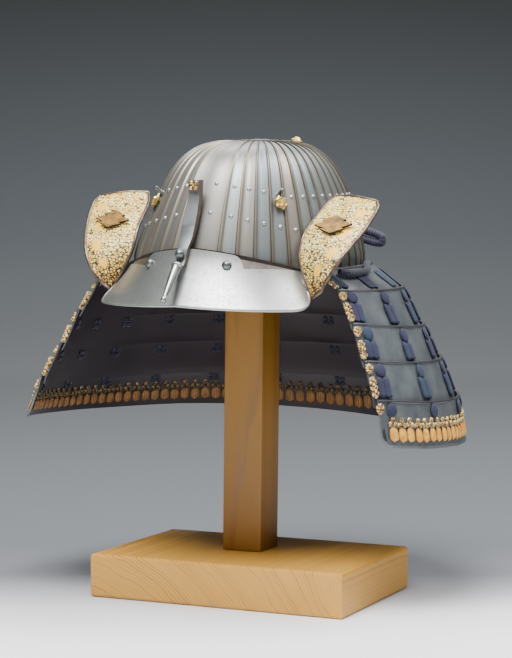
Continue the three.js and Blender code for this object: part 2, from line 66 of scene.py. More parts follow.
# Degrees of each column of lacing from the back, from the wearer's right to the left.
LACE_ANGLES = [-108, -90, -72.5, -54.5, -36, -17, 3, 23, 43, 63, 81, 100.2, 117.5]

# Inner and outer edge of the wearer's left turnback, from the tip up.
TURNBACK = [((112, -97, -34), (119, -96, -31)), ((101, -92, -14), (130, -103, -16)),
            ((93.4, -85.2, 6.4), (143, -95, 7)), ((94, -72.3, 28.4), (155, -70, 31)),
            ((99.5, -39, 52), (160, -48, 51)), ((107, -25, 63), (156, -39, 59))]

to_frame = (Matrix.Translation(Vector(HELMET_AT) * MM) @ Matrix.Rotation(radians(LEAN_FORWARD), 4, "X")
            @ Matrix.Rotation(radians(LEAN_SIDE), 4, "Y") @ Matrix.Scale(MM, 4))


def lerp(a, b, t):
    return a + (b - a) * t


def clamp(x, low=0.0, high=1.0):
    return max(low, min(high, x))


# ------------------------------------------------------------------ materials

def colour(hex_text):
    """An sRGB hex colour as the linear colour that the shaders take."""
    parts = [int(hex_text[i:i + 2], 16) / 255 for i in (1, 3, 5)]
    return tuple(c / 12.92 if c <= 0.04045 else ((c + 0.055) / 1.055) ** 2.4 for c in parts) + (1,)


def add(tree, kind, inputs, stops=(), out=None, **settings):
    """Adds one shader node with its settings and links, and gives one of its outputs.

    The inputs go by name, or in order to the sockets that its settings leave in use. Each is a
    number, a vector, a hex colour or another node's output. A ramp's stops are places along it
    with a hex colour or a grey level."""
    made = tree.nodes.new("ShaderNode" + kind)
    if kind == "Mix":
        made.data_type = "RGBA"          # only colours are mixed here
    for key, value in settings.items():
        setattr(made, key, value)
    if not isinstance(inputs, dict):
        in_use = [i for i, socket in enumerate(made.inputs) if socket.enabled]
        inputs = dict(zip(in_use, inputs))
    for key, value in inputs.items():
        if isinstance(value, bpy.types.NodeSocket):
            tree.links.new(value, made.inputs[key])
        else:
            made.inputs[key].default_value = colour(value) if isinstance(value, str) else value
    if stops:
        elements = made.color_ramp.elements
        while len(elements) < len(stops):
            elements.new(0.5)
        for element, (position, value) in zip(elements, stops):
            element.position = position
            element.color = colour(value) if isinstance(value, str) else (value, value, value, 1)
    return made.outputs[out] if out else next(socket for socket in made.outputs if socket.enabled)


def across(size_mm):
    """The scale of a pattern whose features are so many millimetres across."""
    return 1 / (size_mm * MM)


def material(name, build, **sockets):
    """A material whose shader takes plain values from sockets and the rest from build."""
    made = bpy.data.materials.new(name)
    made.use_nodes = True
    tree = made.node_tree
    shader = tree.nodes["Principled BSDF"]
    for key, value in sockets.items():
        shader.inputs[key.replace("_", " ")].default_value = value
    place = add(tree, "TexCoord", {}, out="Object")
    uv = add(tree, "TexCoord", {}, out="UV")
    for key, socket in build(tree, place, uv).items():
        tree.links.new(socket, shader.inputs[key])
    return made


def clouded(size_mm, tones, roughness, detail=4, grain=None):
    """A finish mottled by clouds of one size. Grain is a fine relief: its size, depth and strength."""
    def build(tree, place, uv):
        clouds = add(tree, "TexNoise", (place, across(size_mm), detail, 0.55))
        links = {"Base Color": add(tree, "ValToRGB", (clouds,), tones),
                 "Roughness": add(tree, "ValToRGB", (clouds,), roughness)}
        if grain:
            size, depth, strength = grain
            fine = add(tree, "TexNoise", (place, across(size), 3, 0.55))
            links["Normal"] = add(tree, "Bump", {"Height": fine, "Distance": depth * MM,
                                                 "Strength": strength})
        return links
    return build


def russet_iron(tree, place, uv):
    """Hand-polished iron: satin grey, every plate a shade of its own, brown left along each rib, with painted
    shade in each rib's steep corner and towards the rim.

    The UV map counts the plates across and runs from the crown at 0 to the rim at 1."""
    u = add(tree, "SeparateXYZ", (uv,), out="X")
    v = add(tree, "SeparateXYZ", (uv,), out="Y")
    in_plate = add(tree, "Math", (u,), operation="FRACT")
    moved = add(tree, "Math", (u, 0.02), operation="ADD")
    plate = add(tree, "Math", (moved,), operation="FLOOR")
    shade = add(tree, "TexWhiteNoise", (plate,), noise_dimensions="1D")
    clouds = add(tree, "TexNoise", (place, across(45), 4, 0.55))
    base = add(tree, "ValToRGB", (clouds,), [(0.3, "#8b8d89"), (0.7, "#9b9a94")])
    tint = add(tree, "ValToRGB", (shade,), [(0.0, "#9a8880"), (0.35, "#8b8d8b"), (0.6, "#7c8d92"),
                                            (0.9, "#75899a")])
    own = add(tree, "Mix", (0.42, base, tint))

    # Brown haze on both sides of a rib, then a dark line of painted shade in its steep corner.
    haze = add(tree, "ValToRGB", (in_plate,), [(0.0, 1.0), (0.04, 0.9), (0.09, 0.55), (0.2, 0.9), (0.27, 0.1),
                                               (0.4, 0.0), (0.88, 0.0), (0.96, 0.6)])
    haze = add(tree, "Math", (haze, 0.75), operation="MULTIPLY")
    tinted = add(tree, "Mix", (haze, own, "#75664f"))
    seam = add(tree, "ValToRGB", (in_plate,), [(0.0, 0.85), (0.022, 0.5), (0.05, 0.0), (0.955, 0.0),
                                               (0.98, 0.8), (1.0, 1.0)])
    seam = add(tree, "Math", (seam, 0.75), operation="MULTIPLY")
    lined = add(tree, "Mix", (seam, tinted, "#352b20"))

    # Polishing streaks run up each plate; the foot is rougher than the crown, and painted shade darkens its
    # colour towards the rim.
    drawn = add(tree, "Mapping", {"Vector": uv, "Scale": (3.0, 0.35, 1)})
    streaks = add(tree, "TexNoise", (drawn, across(700), 4, 0.55))
    streak = add(tree, "ValToRGB", (streaks,), [(0.45, 0.0), (0.75, 1.0)])
    streak = add(tree, "Math", (streak, 0.25), operation="MULTIPLY")
    rubbed = add(tree, "Mix", (streak, lined, "#8b8a84"))
    foot = add(tree, "ValToRGB", (v,), [(0.25, 0.0), (0.5, 0.45), (0.75, 0.8), (1.0, 0.9)])
    satin = add(tree, "ValToRGB", (streaks,), [(0.3, 0.38), (0.7, 0.48)])
    grit = add(tree, "TexNoise", (place, across(1.6), 2, 0.55))
    # Painted shade: the colour is multiplied darker towards the rim.
    return {"Base Color": add(tree, "Mix", (foot, rubbed, "#b3b2ae"), blend_type="MULTIPLY"),
            "Roughness": add(tree, "Math", (foot, 0.18, satin), operation="MULTIPLY_ADD"),
            "Normal": add(tree, "Bump", {"Height": grit, "Distance": 0.1 * MM, "Strength": 0.3})}


def polished_iron(tree, place, uv):
    """The visor's smooth iron: paler than the bowl, with specks of bloom in loose patches."""
    clouds = add(tree, "TexNoise", (place, across(30), 4, 0.55))
    base = add(tree, "ValToRGB", (clouds,), [(0.3, "#9da19e"), (0.7, "#b0b3b0")])
    specks = add(tree, "TexNoise", (place, across(3.2), 4, 0.7))
    speck = add(tree, "ValToRGB", (specks,), [(0.5, 0.0), (0.66, 1.0)])
    patches = add(tree, "TexNoise", (place, across(24), 2, 0.55))
    patch = add(tree, "ValToRGB", (patches,), [(0.4, 0.1), (0.62, 0.5)])
    bloom = add(tree, "Math", (speck, patch), operation="MULTIPLY")
    return {"Base Color": add(tree, "Mix", (bloom, base, "#7f817a")),
            "Roughness": add(tree, "ValToRGB", (specks,), [(0.35, 0.34), (0.7, 0.46)]),
            "Normal": add(tree, "Bump", {"Height": specks, "Distance": 0.06 * MM, "Strength": 0.3})}


# Place across and up a turnback, as shares, and size in mm of each plain roundel on the leather.
ROUNDELS = [(0.60, 0.25, 5.6), (0.76, 0.41, 5.2), (0.74, 0.57, 4.6), (0.79, 0.74, 4.2), (0.62, 0.9, 3.6)]
LEATHER_WIDE, LEATHER_HIGH = 50.0, 104.0


def gilt_leather(tree, place, uv):
    """Gilded leather with a crackled ground: raised cells 3.1 mm across that darken towards the tip.

    The real cells are nearer 1.6 mm across; they are drawn this coarse so that they still show."""
    aside = add(tree, "SeparateXYZ", (uv,), out="X")
    up = add(tree, "SeparateXYZ", (uv,), out="Y")
    waver = add(tree, "TexNoise", (place, across(14), 2, 0.55))
    waver = add(tree, "Math", (waver, 0.5), operation="SUBTRACT")
    waver = add(tree, "Math", (waver, 0.5), operation="MULTIPLY")
    ground = add(tree, "Math", (up, waver), operation="ADD")
    edge = add(tree, "TexVoronoi", {"Vector": place, "Scale": across(3.1), "Randomness": 0.85},
               feature="DISTANCE_TO_EDGE")
    width = add(tree, "ValToRGB", (ground,), [(0.0, 0.24), (0.3, 0.17), (0.6, 0.125), (1.0, 0.115)])
    breaks = add(tree, "TexNoise", (place, across(3.4), 3, 0.55))
    broken = add(tree, "ValToRGB", (breaks,), [(0.35, 0.32), (0.54, 1.0)])
    width = add(tree, "Math", (width, broken), operation="MULTIPLY")
    depth = add(tree, "Math", (edge, width), operation="DIVIDE")
    groove = add(tree, "ValToRGB", (depth,), [(0.6, 1.0), (1.0, 0.0)])

    # The gold is cream where it is worn thin and brown-black in the grooves.
    patches = add(tree, "TexNoise", (place, across(9), 3, 0.55))
    cream = add(tree, "ValToRGB", (patches,), [(0.35, "#f2c454"), (0.65, "#ffea9c")])
    old_gold = add(tree, "ValToRGB", (patches,), [(0.35, "#b07a20"), (0.65, "#f3c350")])
    low = add(tree, "ValToRGB", (ground,), [(0.1, 1.0), (0.34, 0.0)])
    raised = add(tree, "Mix", (low, cream, old_gold))
    dull = add(tree, "ValToRGB", (patches,), [(0.4, "#352d1a"), (0.6, "#4a3f20")])
    deep = add(tree, "Mix", (low, dull, "#150d05"))
    pitted = add(tree, "Mix", (groove, raised, deep))

    roundels = None
    for middle_aside, middle_up, size in ROUNDELS:
        dx = add(tree, "Math", (aside, middle_aside), operation="SUBTRACT")
        dx = add(tree, "Math", (dx, LEATHER_WIDE), operation="MULTIPLY")
        dy = add(tree, "Math", (up, middle_up), operation="SUBTRACT")
        dy = add(tree, "Math", (dy, LEATHER_HIGH), operation="MULTIPLY")
        dx = add(tree, "Math", (dx, dx), operation="MULTIPLY")
        dy = add(tree, "Math", (dy, dy), operation="MULTIPLY")
        away = add(tree, "Math", (dx, dy), operation="ADD")
        away = add(tree, "Math", (away,), operation="SQRT")
        away = add(tree, "Math", (away, 2 * size), operation="DIVIDE")
        disc = add(tree, "ValToRGB", (away,), [(0.42, 1.0), (0.52, 0.0)])
        roundels = add(tree, "Math", (roundels, disc), operation="MAXIMUM") if roundels else disc
    covered = add(tree, "Math", (roundels, 0.92), operation="MULTIPLY")
    painted = add(tree, "Mix", (covered, pitted, "#f6c03a"))

    # A brown line runs just inside the rim, up both sides and along the top.
    off_middle = add(tree, "Math", (aside, 0.5), operation="SUBTRACT")
    off_middle = add(tree, "Math", (off_middle,), operation="ABSOLUTE")
    sides = add(tree, "ValToRGB", (off_middle,), [(0.455, 0.0), (0.475, 1.0)])
    top = add(tree, "ValToRGB", (up,), [(0.972, 0.0), (0.985, 1.0)])
    line = add(tree, "Math", (sides, top), operation="MAXIMUM")
    line = add(tree, "Math", (line, 0.8), operation="MULTIPLY")

    # The grooves are pressed in, except under a roundel.
    bare = add(tree, "Math", (1.0, roundels), operation="SUBTRACT")
    pressed = add(tree, "Math", (groove, bare), operation="MULTIPLY")
    relief = add(tree, "Math", (1.0, pressed), operation="SUBTRACT")
    return {"Base Color": add(tree, "Mix", (line, painted, "#3d2d20")),
            "Roughness": add(tree, "ValToRGB", (patches,), [(0.3, 0.38), (0.7, 0.55)]),
            "Normal": add(tree, "Bump", {"Height": relief, "Distance": 0.3 * MM, "Strength": 0.6})}


def grey_lacquer(tree, place, uv):
    """Grey-green lacquer over iron, dulled by handling: soft clouds and paler scuffs."""
    clouds = add(tree, "TexNoise", (place, across(22), 5, 0.55))
    fine = add(tree, "TexNoise", (place, across(2.5), 4, 0.55))
    base = add(tree, "ValToRGB", (clouds,), [(0.32, "#464a50"), (0.5, "#52575a"), (0.7, "#5d6263")])
    scuffs = add(tree, "ValToRGB", (fine,), [(0.55, 0.0), (0.75, 1.0)])
    scuffs = add(tree, "Math", (scuffs, 0.35), operation="MULTIPLY")
    return {"Base Color": add(tree, "Mix", (scuffs, base, "#717a7d")),
            "Roughness": add(tree, "ValToRGB", (clouds,), [(0.3, 0.3), (0.7, 0.42)]),
            "Normal": add(tree, "Bump", {"Height": fine, "Distance": 0.06 * MM, "Strength": 0.3})}


def braid_height(tree, uv, pitch_mm, slant):
    """Slanting strands of a flat braid, from a UV map in turns and millimetres."""
    turns = add(tree, "SeparateXYZ", (uv,), out="X")
    along = add(tree, "SeparateXYZ", (uv,), out="Y")
    fold = add(tree, "Math", (turns,), operation="FRACT")
    fold = add(tree, "Math", (fold, 0.5), operation="SUBTRACT")
    fold = add(tree, "Math", (fold,), operation="ABSOLUTE")
    phase = add(tree, "Math", (along, pitch_mm), operation="DIVIDE")
    slanted = add(tree, "Math", (fold, slant), operation="MULTIPLY")
    phase = add(tree, "Math", (phase, slanted), operation="ADD")
    phase = add(tree, "Math", (phase, 2 * pi), operation="MULTIPLY")
    wave = add(tree, "Math", (phase,), operation="SINE")
    return add(tree, "Math", (wave, 0.5, 0.5), operation="MULTIPLY_ADD")


def strand_edge(tree, uv, power, share):
    """How near a point is to a flat strand's two edges, for the shade that gathers there."""
    turns = add(tree, "SeparateXYZ", (uv,), out="X")
    turn = add(tree, "Math", (turns, 2 * pi), operation="MULTIPLY")
    side = add(tree, "Math", (turn,), operation="COSINE")
    side = add(tree, "Math", (side,), operation="ABSOLUTE")
    side = add(tree, "Math", (side, power), operation="POWER")
    return add(tree, "Math", (side, share), operation="MULTIPLY")


def indigo_silk(tree, place, uv):
    """Flat braided silk, indigo faded towards violet and grey-blue; strands 1.7 mm apart."""
    strands = braid_height(tree, uv, 1.7, 3.0)
    fade = add(tree, "TexNoise", (place, across(34), 2, 0.55))
    base = add(tree, "ValToRGB", (fade,), [(0.36, "#0f1230"), (0.5, "#151839"), (0.64, "#0b2a3b")])
    # A painted highlight on each strand of the weave, and painted shade along the lace's two edges.
    lit = add(tree, "Math", (strands, 0.22), operation="MULTIPLY")
    shaded = add(tree, "Mix", (lit, base, "#303860"))
    edge = strand_edge(tree, uv, 4.0, 0.7)
    return {"Base Color": add(tree, "Mix", (edge, shaded, "#0e0f1c")),
            "Normal": add(tree, "Bump", {"Height": strands, "Distance": 0.25 * MM, "Strength": 0.5})}


def indigo_cord(tree, place, uv):
    """Twisted indigo cord, 3.2 mm from one turn of the twist to the next, darker than the lacing."""
    turns = add(tree, "SeparateXYZ", (uv,), out="X")
    along = add(tree, "SeparateXYZ", (uv,), out="Y")
    phase = add(tree, "Math", (along, 3.2), operation="DIVIDE")
    doubled = add(tree, "Math", (turns, 2.0), operation="MULTIPLY")
    phase = add(tree, "Math", (phase, doubled), operation="ADD")
    phase = add(tree, "Math", (phase, 2 * pi), operation="MULTIPLY")
    wave = add(tree, "Math", (phase,), operation="SINE")
    twist = add(tree, "Math", (wave, 0.5, 0.5), operation="MULTIPLY_ADD")
    # The colour follows the twist: painted shade in its grooves and a painted highlight on its ridges.
    tones = [(0.1, "#10111f"), (0.6, "#1b1b31"), (0.95, "#28294a")]
    return {"Base Color": add(tree, "ValToRGB", (twist,), tones),
            "Normal": add(tree, "Bump", {"Height": twist, "Distance": 0.5 * MM, "Strength": 0.8})}


def braid(shade, low, middle, high):
    """Flat braid of metal-wrapped and cream thread over a brown core; strands 2.4 mm apart, with painted
    shade in the valleys between them.
    """
    def build(tree, place, uv):
        strands = braid_height(tree, uv, 2.4, 1.5)
        mottle = add(tree, "TexNoise", (place, across(2.2), 3, 0.55))
        thread = add(tree, "ValToRGB", (mottle,), [(0.4, shade), (0.45, low), (0.54, middle), (0.66, high)])
        # Painted shade in the valleys between the strands.
        valley = add(tree, "Math", (1.0, strands), operation="SUBTRACT")
        valley = add(tree, "Math", (valley, 0.7), operation="MULTIPLY")
        return {"Base Color": add(tree, "Mix", (valley, thread, shade)),
                "Normal": add(tree, "Bump", {"Height": strands, "Distance": 0.5 * MM, "Strength": 0.7})}
    return build


def satin_stitch(low, high):
    """The tight satin stitches of the hem: fine ridges side by side, each with a painted highlight, and
    painted shade where they go under.
    """
    def build(tree, place, uv):
        turns = add(tree, "SeparateXYZ", (uv,), out="X")
        ridge = add(tree, "Math", (turns, 2 * pi * 12), operation="MULTIPLY")
        ridge = add(tree, "Math", (ridge,), operation="SINE")
        stitch = add(tree, "Math", (ridge, 0.5, 0.5), operation="MULTIPLY_ADD")
        tone = add(tree, "TexNoise", (place, across(7), 2, 0.55))
        base = add(tree, "ValToRGB", (tone,), [(0.35, low), (0.65, high)])
        lit = add(tree, "Math", (stitch, 0.2), operation="MULTIPLY")
        shaded = add(tree, "Mix", (lit, base, "#f5cb6c"))
        edge = strand_edge(tree, uv, 6.0, 0.75)
        return {"Base Color": add(tree, "Mix", (edge, shaded, "#4a2a0e")),
                "Normal": add(tree, "Bump", {"Height": stitch, "Distance": 0.2 * MM, "Strength": 0.5})}
    return build


def softwood(axis, centre, spacing_mm, early, late_wood):
    """Planed softwood: year rings about an axis outside the block, with fine pores along the grain."""
    def build(tree, place, uv):
        shifted = add(tree, "Mapping", {"Vector": place, "Location": tuple(-c * MM for c in centre)})
        stretch = {"Y": (1.0, 0.06, 1.0), "Z": (1.0, 1.0, 0.06)}[axis]
        drawn = add(tree, "Mapping", {"Vector": place, "Scale": stretch})
        x = add(tree, "SeparateXYZ", (shifted,), out="X")
        other = add(tree, "SeparateXYZ", (shifted,), out="Z" if axis == "Y" else "Y")
        x = add(tree, "Math", (x, x), operation="MULTIPLY")
        other = add(tree, "Math", (other, other), operation="MULTIPLY")
        radius = add(tree, "Math", (x, other), operation="ADD")
        radius = add(tree, "Math", (radius,), operation="SQRT")

        # Each year ring ends in dark late wood, some years more strongly than others.
        wobble = add(tree, "TexNoise", (drawn, across(80), 3, 0.5))
        wobble = add(tree, "Math", (wobble, 9.0), operation="MULTIPLY")
        years = add(tree, "Math", (radius, spacing_mm * MM), operation="DIVIDE")
        years = add(tree, "Math", (years, wobble), operation="ADD")
        ring = add(tree, "Math", (years,), operation="FRACT")
        late = add(tree, "ValToRGB", (ring,), [(0.0, 0.0), (0.55, 0.15), (0.85, 1.0), (0.93, 0.9),
                                               (1.0, 0.0)])
        year = add(tree, "Math", (years,), operation="FLOOR")
        chance = add(tree, "TexWhiteNoise", (year,), noise_dimensions="1D")
        strength = add(tree, "ValToRGB", (chance,), [(0.0, 0.15), (0.6, 0.4), (1.0, 0.85)])
        strength = add(tree, "Math", (late, strength), operation="MULTIPLY")

        tone = add(tree, "TexNoise", (drawn, across(60), 2, 0.55))
        tone = add(tree, "Math", (tone, 0.35), operation="MULTIPLY")
        base = add(tree, "Mix", (tone, early, late_wood))
        grain = add(tree, "Mix", (strength, base, late_wood))
        pores = add(tree, "TexNoise", (drawn, across(0.9), 3, 0.6))
        pore = add(tree, "ValToRGB", (pores,), [(0.5, 0.0), (0.75, 1.0)])
        pore = add(tree, "Math", (pore, 0.2), operation="MULTIPLY")
        return {"Base Color": add(tree, "Mix", (pore, grain, late_wood)),
                "Roughness": add(tree, "ValToRGB", (late,), [(0.0, 0.5), (1.0, 0.38)]),
                "Normal": add(tree, "Bump", {"Height": pores, "Distance": 0.12 * MM, "Strength": 0.35})}
    return build


IRON = material("russet_iron", russet_iron, Metallic=0.75)
VISOR_IRON = material("polished_iron", polished_iron, Metallic=0.85)
# The strip of the bowl's foot band that shows above the visor's face sheet, browner than it.
IRON_BAND = material("band_iron", clouded(9, [(0.3, "#6a6560"), (0.7, "#7e7973")], [(0.3, 0.4), (0.7, 0.5)]),
                     Metallic=0.85)
# The open seam above the visor: brown, dead matt and near-black, painted shadow in the gap.
SHADOW_BAND = material("painted_shadow_seam", clouded(4, [(0.35, "#17120f"), (0.65, "#28201b")],
                                              [(0.3, 0.75), (0.7, 0.9)], detail=3), Specular_IOR_Level=0.2)
# Steel fittings, filed smooth and wiped, with a soft satin sheen.
STEEL = material("dark_steel", clouded(9, [(0.3, "#666b6d"), (0.7, "#7b7f7f")], [(0.3, 0.34), (0.7, 0.44)],
                                       grain=(1.2, 0.05, 0.3)), Metallic=0.9)
# The front of the crest holder: grey steel that has been rubbed dull.
WIPED_STEEL = material("wiped_steel", clouded(14, [(0.3, "#6a6f70"), (0.7, "#7c807f")],
                                              [(0.3, 0.5), (0.7, 0.6)]), Metallic=0.85)
# The crest holder's pin, worn bright by the crests slid on to it.
BRIGHT_STEEL = material("bright_steel", clouded(9, [(0.3, "#8c908f"), (0.7, "#a5a8a6")],
                                                [(0.3, 0.28), (0.7, 0.38)]), Metallic=0.95)
# The sides of the crest holder, left brown from the forge.
BROWN_STEEL = material("brown_steel", clouded(6, [(0.3, "#5f514b"), (0.7, "#796a62")],
                                              [(0.3, 0.45), (0.7, 0.58)]), Metallic=0.8)
# Fire gilding on copper: warm gold, rubbed through to brown in places.
GILT = material("worn_gilt", clouded(3.5, [(0.3, "#4a3a22"), (0.42, "#b08c42"), (0.6, "#e2cb86")],
                                     [(0.3, 0.5), (0.6, 0.3)], grain=(1.0, 0.15, 0.4)), Metallic=0.9)
LEATHER = material("gilt_leather", gilt_leather, Metallic=0.12)
# The rolled copper rim of a turnback, brown where the gilding has gone.
RIM = material("copper_rim", clouded(12, [(0.35, "#4a3f3b"), (0.65, "#83705f")], [(0.3, 0.45), (0.7, 0.32)]),
               Metallic=0.8)
# The face of a crest: pickled bronze with a brown patina.
BRONZE = material("brown_bronze", clouded(7, [(0.35, "#5f4a2c"), (0.65, "#9a7434")],
                                          [(0.3, 0.42), (0.7, 0.55)]), Metallic=0.6)
# The sides of a crest, painted near-black as painted shade.
BRONZE_EDGE = material("shade_painted_bronze", clouded(4, [(0.35, "#1d150c"), (0.65, "#33261a")],
                                                [(0.3, 0.6), (0.7, 0.75)], detail=3), Metallic=0.3)
LACQUER = material("grey_lacquer", grey_lacquer, IOR=1.55, Coat_Weight=0.25, Coat_Roughness=0.25)
# The inside of the lames: brown-black lacquer with a violet cast.
INSIDE = material("dark_lacquer", clouded(30, [(0.3, "#190f18"), (0.7, "#261a24")],
                                          [(0.3, 0.4), (0.7, 0.55)]),
                  IOR=1.55, Coat_Weight=0.15, Coat_Roughness=0.3)
SILK = material("indigo_silk", indigo_silk, Roughness=0.8, Sheen_Weight=0.05, IOR=1.5)
CORD = material("indigo_cord", indigo_cord, Roughness=0.7, Sheen_Weight=0.15, IOR=1.5)
# Gold thread outside; on the inside of the hem the same braid and stitches are painted dull and brown as
# painted shade.
BRAID = material("gold_braid", braid("#20160b", "#b8862f", "#edc565", "#fdf4d2"),
                 Roughness=0.6, Sheen_Weight=0.1, IOR=1.5)
DULL_BRAID = material("inner_braid_shade", braid("#1a130c", "#5a4424", "#80683a", "#a08a56"),
                      Roughness=0.65, Sheen_Weight=0.05, IOR=1.5)
TAB = material("gold_tab", satin_stitch("#c47c16", "#efac34"),
               Roughness=0.6, Sheen_Weight=0.05, IOR=1.5)
BROWN_TAB = material("inner_tab_shade", satin_stitch("#5e3a1c", "#8c5a2a"),
                     Roughness=0.65, Sheen_Weight=0.05, IOR=1.5)
# The raised top line and the cut ends of the lames, near-black where the grey has rubbed off.
EDGE_LACQUER = material("edge_lacquer", clouded(8, [(0.3, "#1b1b21"), (0.7, "#2b2b32")],
                                                [(0.3, 0.4), (0.7, 0.55)]),
                        IOR=1.55, Coat_Weight=0.2, Coat_Roughness=0.3)
BASE_WOOD = material("softwood_base", softwood("Y", (-190, 0, -170), 3.2, "#d9a547", "#955816"), IOR=1.5)
POST_WOOD = material("softwood_post", softwood("Z", (-6, 160, 0), 4.2, "#92661a", "#5e3a08"), IOR=1.5)

# ------------------------------------------------------------------ mesh helpers


def bent_grid(bm, columns, rows, place, uv_of=None, slot=0):
    """Adds a flat grid and bends it: the corner at shares u, v of its sides goes to place(u, v)."""
    layer = bm.loops.layers.uv.verify()
    made = bmesh.ops.create_grid(bm, x_segments=columns, y_segments=rows, size=0.5)["verts"]
    faces = {face for vert in made for face in vert.link_faces}
    for face in faces:
        middle = face.calc_center_median()
        face.material_index = slot(middle.x + 0.5, middle.y + 0.5) if callable(slot) else slot
        for loop in face.loops:
            u, v = loop.vert.co.x + 0.5, loop.vert.co.y + 0.5
            loop[layer].uv = uv_of(u, v) if uv_of else (u, v)
    for vert in made:
        vert.co = place(vert.co.x + 0.5, vert.co.y + 0.5)


def smooth_path(points, steps, closed=False):
    """The points, or rows of measures, with smooth ones put in between: so many steps to each span."""
    points = [Vector(p) for p in points]
    count = len(points)
    path = []
    for i in range(count if closed else count - 1):
        if closed:
            a, b, c, d = (points[(i + k) % count] for k in (-1, 0, 1, 2))
        else:
            b, c = points[i], points[i + 1]
            a = points[i - 1] if i else b * 2 - c
            d = points[i + 2] if i + 2 < count else c * 2 - b
        for k in range(steps):
            t = k / steps
            path.append(0.5 * (2 * b + (c - a) * t + (2 * a - 5 * b + 4 * c - d) * t * t
                               + (3 * b - a - 3 * c + d) * t ** 3))
    path.append(points[0].copy() if closed else points[-1].copy())
    return path


def tube(bm, points, radius, sides=8, steps=4, closed=False, slot=0, up=(0, 0, 1)):
    """A round cord on a smooth curve through the points, its UV map in turns and millimetres.

    Its ends are round, unless it closes on itself."""
    path = smooth_path(points, steps, closed)
    lengths = [0.0]
    for a, b in zip(path, path[1:]):
        lengths.append(lengths[-1] + (b - a).length)
    last = len(path) - 1
    up = Vector(up)

    def place(u, v):
        i = round(v * last)
        ahead = path[(i + 1) % last if closed else min(i + 1, last)]
        behind = path[(i - 1) % last if closed else max(i - 1, 0)]
        along = (ahead - behind).normalized()
        side = along.cross(up).normalized()
        over = side.cross(along)
        r = radius
        if not closed:
            from_end = min(lengths[i], lengths[-1] - lengths[i]) / radius
            r *= sqrt(clamp(1 - (1 - min(from_end, 1)) ** 2))
        turn = 2 * pi * u
        return path[i] + side * (r * cos(turn)) + over * (r * sin(turn))

    bent_grid(bm, sides, last, place, lambda u, v: (u, lengths[round(v * last)]), slot)


def turned(bm, rows, sides, at, direction, slot=0, lobes=0, lobe_depth=0.0):
    """A turned form from rows of (radius, height), set at a point and aimed along a direction."""
    turn = Vector((0, 0, 1)).rotation_difference(Vector(direction)).to_matrix()
    last = len(rows) - 1

    def place(u, v):
        radius, height = rows[round(v * last)]
        radius *= 1 - lobe_depth * abs(cos(pi * lobes * u)) if lobes else 1
        return Vector(at) + turn @ Vector((radius * cos(2 * pi * u), radius * sin(2 * pi * u), height))

    bent_grid(bm, sides, last, place, slot=slot)


def domed(radius, height, steps=7):
    """The rows of a round head with a small step down to its seat."""
    rows = [(radius * sin(pi / 2 * i / steps), height * cos(pi / 2 * i / steps)) for i in range(steps + 1)]
    return rows + [(radius * 0.96, -0.5), (0, -0.5)]


def close_ends(bm):
    """Merges the seam of a closed section and fills the two ends of the sweep."""
    bmesh.ops.remove_doubles(bm, verts=bm.verts, dist=0.001)
    open_edges = [edge for edge in bm.edges if edge.is_boundary]
    bmesh.ops.holes_fill(bm, edges=open_edges, sides=0)


def piece(bm, name, materials, slot_name, *nodes, sharp=35, frame_of=to_frame):
    """Closes the mesh, makes it an object in the part's frame, hangs it from the root body and hides the
    parts that it stands in for.
    """
    bmesh.ops.remove_doubles(bm, verts=bm.verts, dist=0.001)
    bmesh.ops.recalc_face_normals(bm, faces=bm.faces)
    bmesh.ops.transform(bm, matrix=frame_of, verts=bm.verts)
    mesh = bpy.data.meshes.new(name)
    bm.to_mesh(mesh)
    bm.free()
    made = bpy.data.objects.new(name, mesh)
    bpy.context.scene.collection.objects.link(made)
    for finish in materials:
        mesh.materials.append(finish)
    mesh.shade_smooth()
    mesh.set_sharp_from_angle(angle=radians(sharp))
    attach(made, "root")
    if nodes:
        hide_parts(*nodes)


# ------------------------------------------------------------------ bowl

def rim_lengths(count=1440):
    """Lengths along the bowl's widest section, anticlockwise from the front."""
    points = [(HALF_WIDTH * sin(2 * pi * i / count), -HALF_LENGTH * cos(2 * pi * i / count))
              for i in range(count + 1)]
    sums = [0.0]
    for (x0, y0), (x1, y1) in zip(points, points[1:]):
        sums.append(sums[-1] + hypot(x1 - x0, y1 - y0))
    return points, sums


RIM_POINTS, RIM_SUMS = rim_lengths()
RIM_LENGTH = RIM_SUMS[-1]


def rim_point(along):
    """The point of the rim at a length along it from the front."""
    along %= RIM_LENGTH
    low, high = 0, len(RIM_SUMS) - 1
    while high - low > 1:
        middle = (low + high) // 2
        low, high = (middle, high) if RIM_SUMS[middle] <= along else (low, middle)
    t = (along - RIM_SUMS[low]) / (RIM_SUMS[high] - RIM_SUMS[low])
    (x0, y0), (x1, y1) = RIM_POINTS[low], RIM_POINTS[high]
    return lerp(x0, x1, t), lerp(y0, y1, t)


def share_at(turn):
    """How far out from the crown a point is, as a share; turn is 0 at the crown and pi / 2 at the rim."""
    return sin(turn) ** (2 / CROWN_POWER)


def dome_point(along, turn):
    """A point of the plain dome, before its ribs."""
    x, y = rim_point(along)
    share = share_at(turn)
    # The front shoulder is drawn in a little, so that the brow is steeper than the nape.
    ahead = clamp(0.5 - 0.5 * (y - CROWN_BACK) / hypot(x, y - CROWN_BACK) / SHOULDER_SPREAD)
    share *= 1 - SHOULDER_IN * ahead * ahead * (3 - 2 * ahead) * sin(2 * turn) ** 2
    height = BOWL_HEIGHT * max(cos(turn), 0) ** (2 / WALL_POWER)
    return Vector((share * x, CROWN_BACK + share * (y - CROWN_BACK), height))


def dome_normal(along, turn):
    """The direction straight out of the dome."""
    step = 0.01
    low = min(turn, pi / 2 - step)
    down = dome_point(along, low + step) - dome_point(along, low - step / 2)
    around = dome_point(along + 1, low) - dome_point(along - 1, low)
    return down.cross(around).normalized()


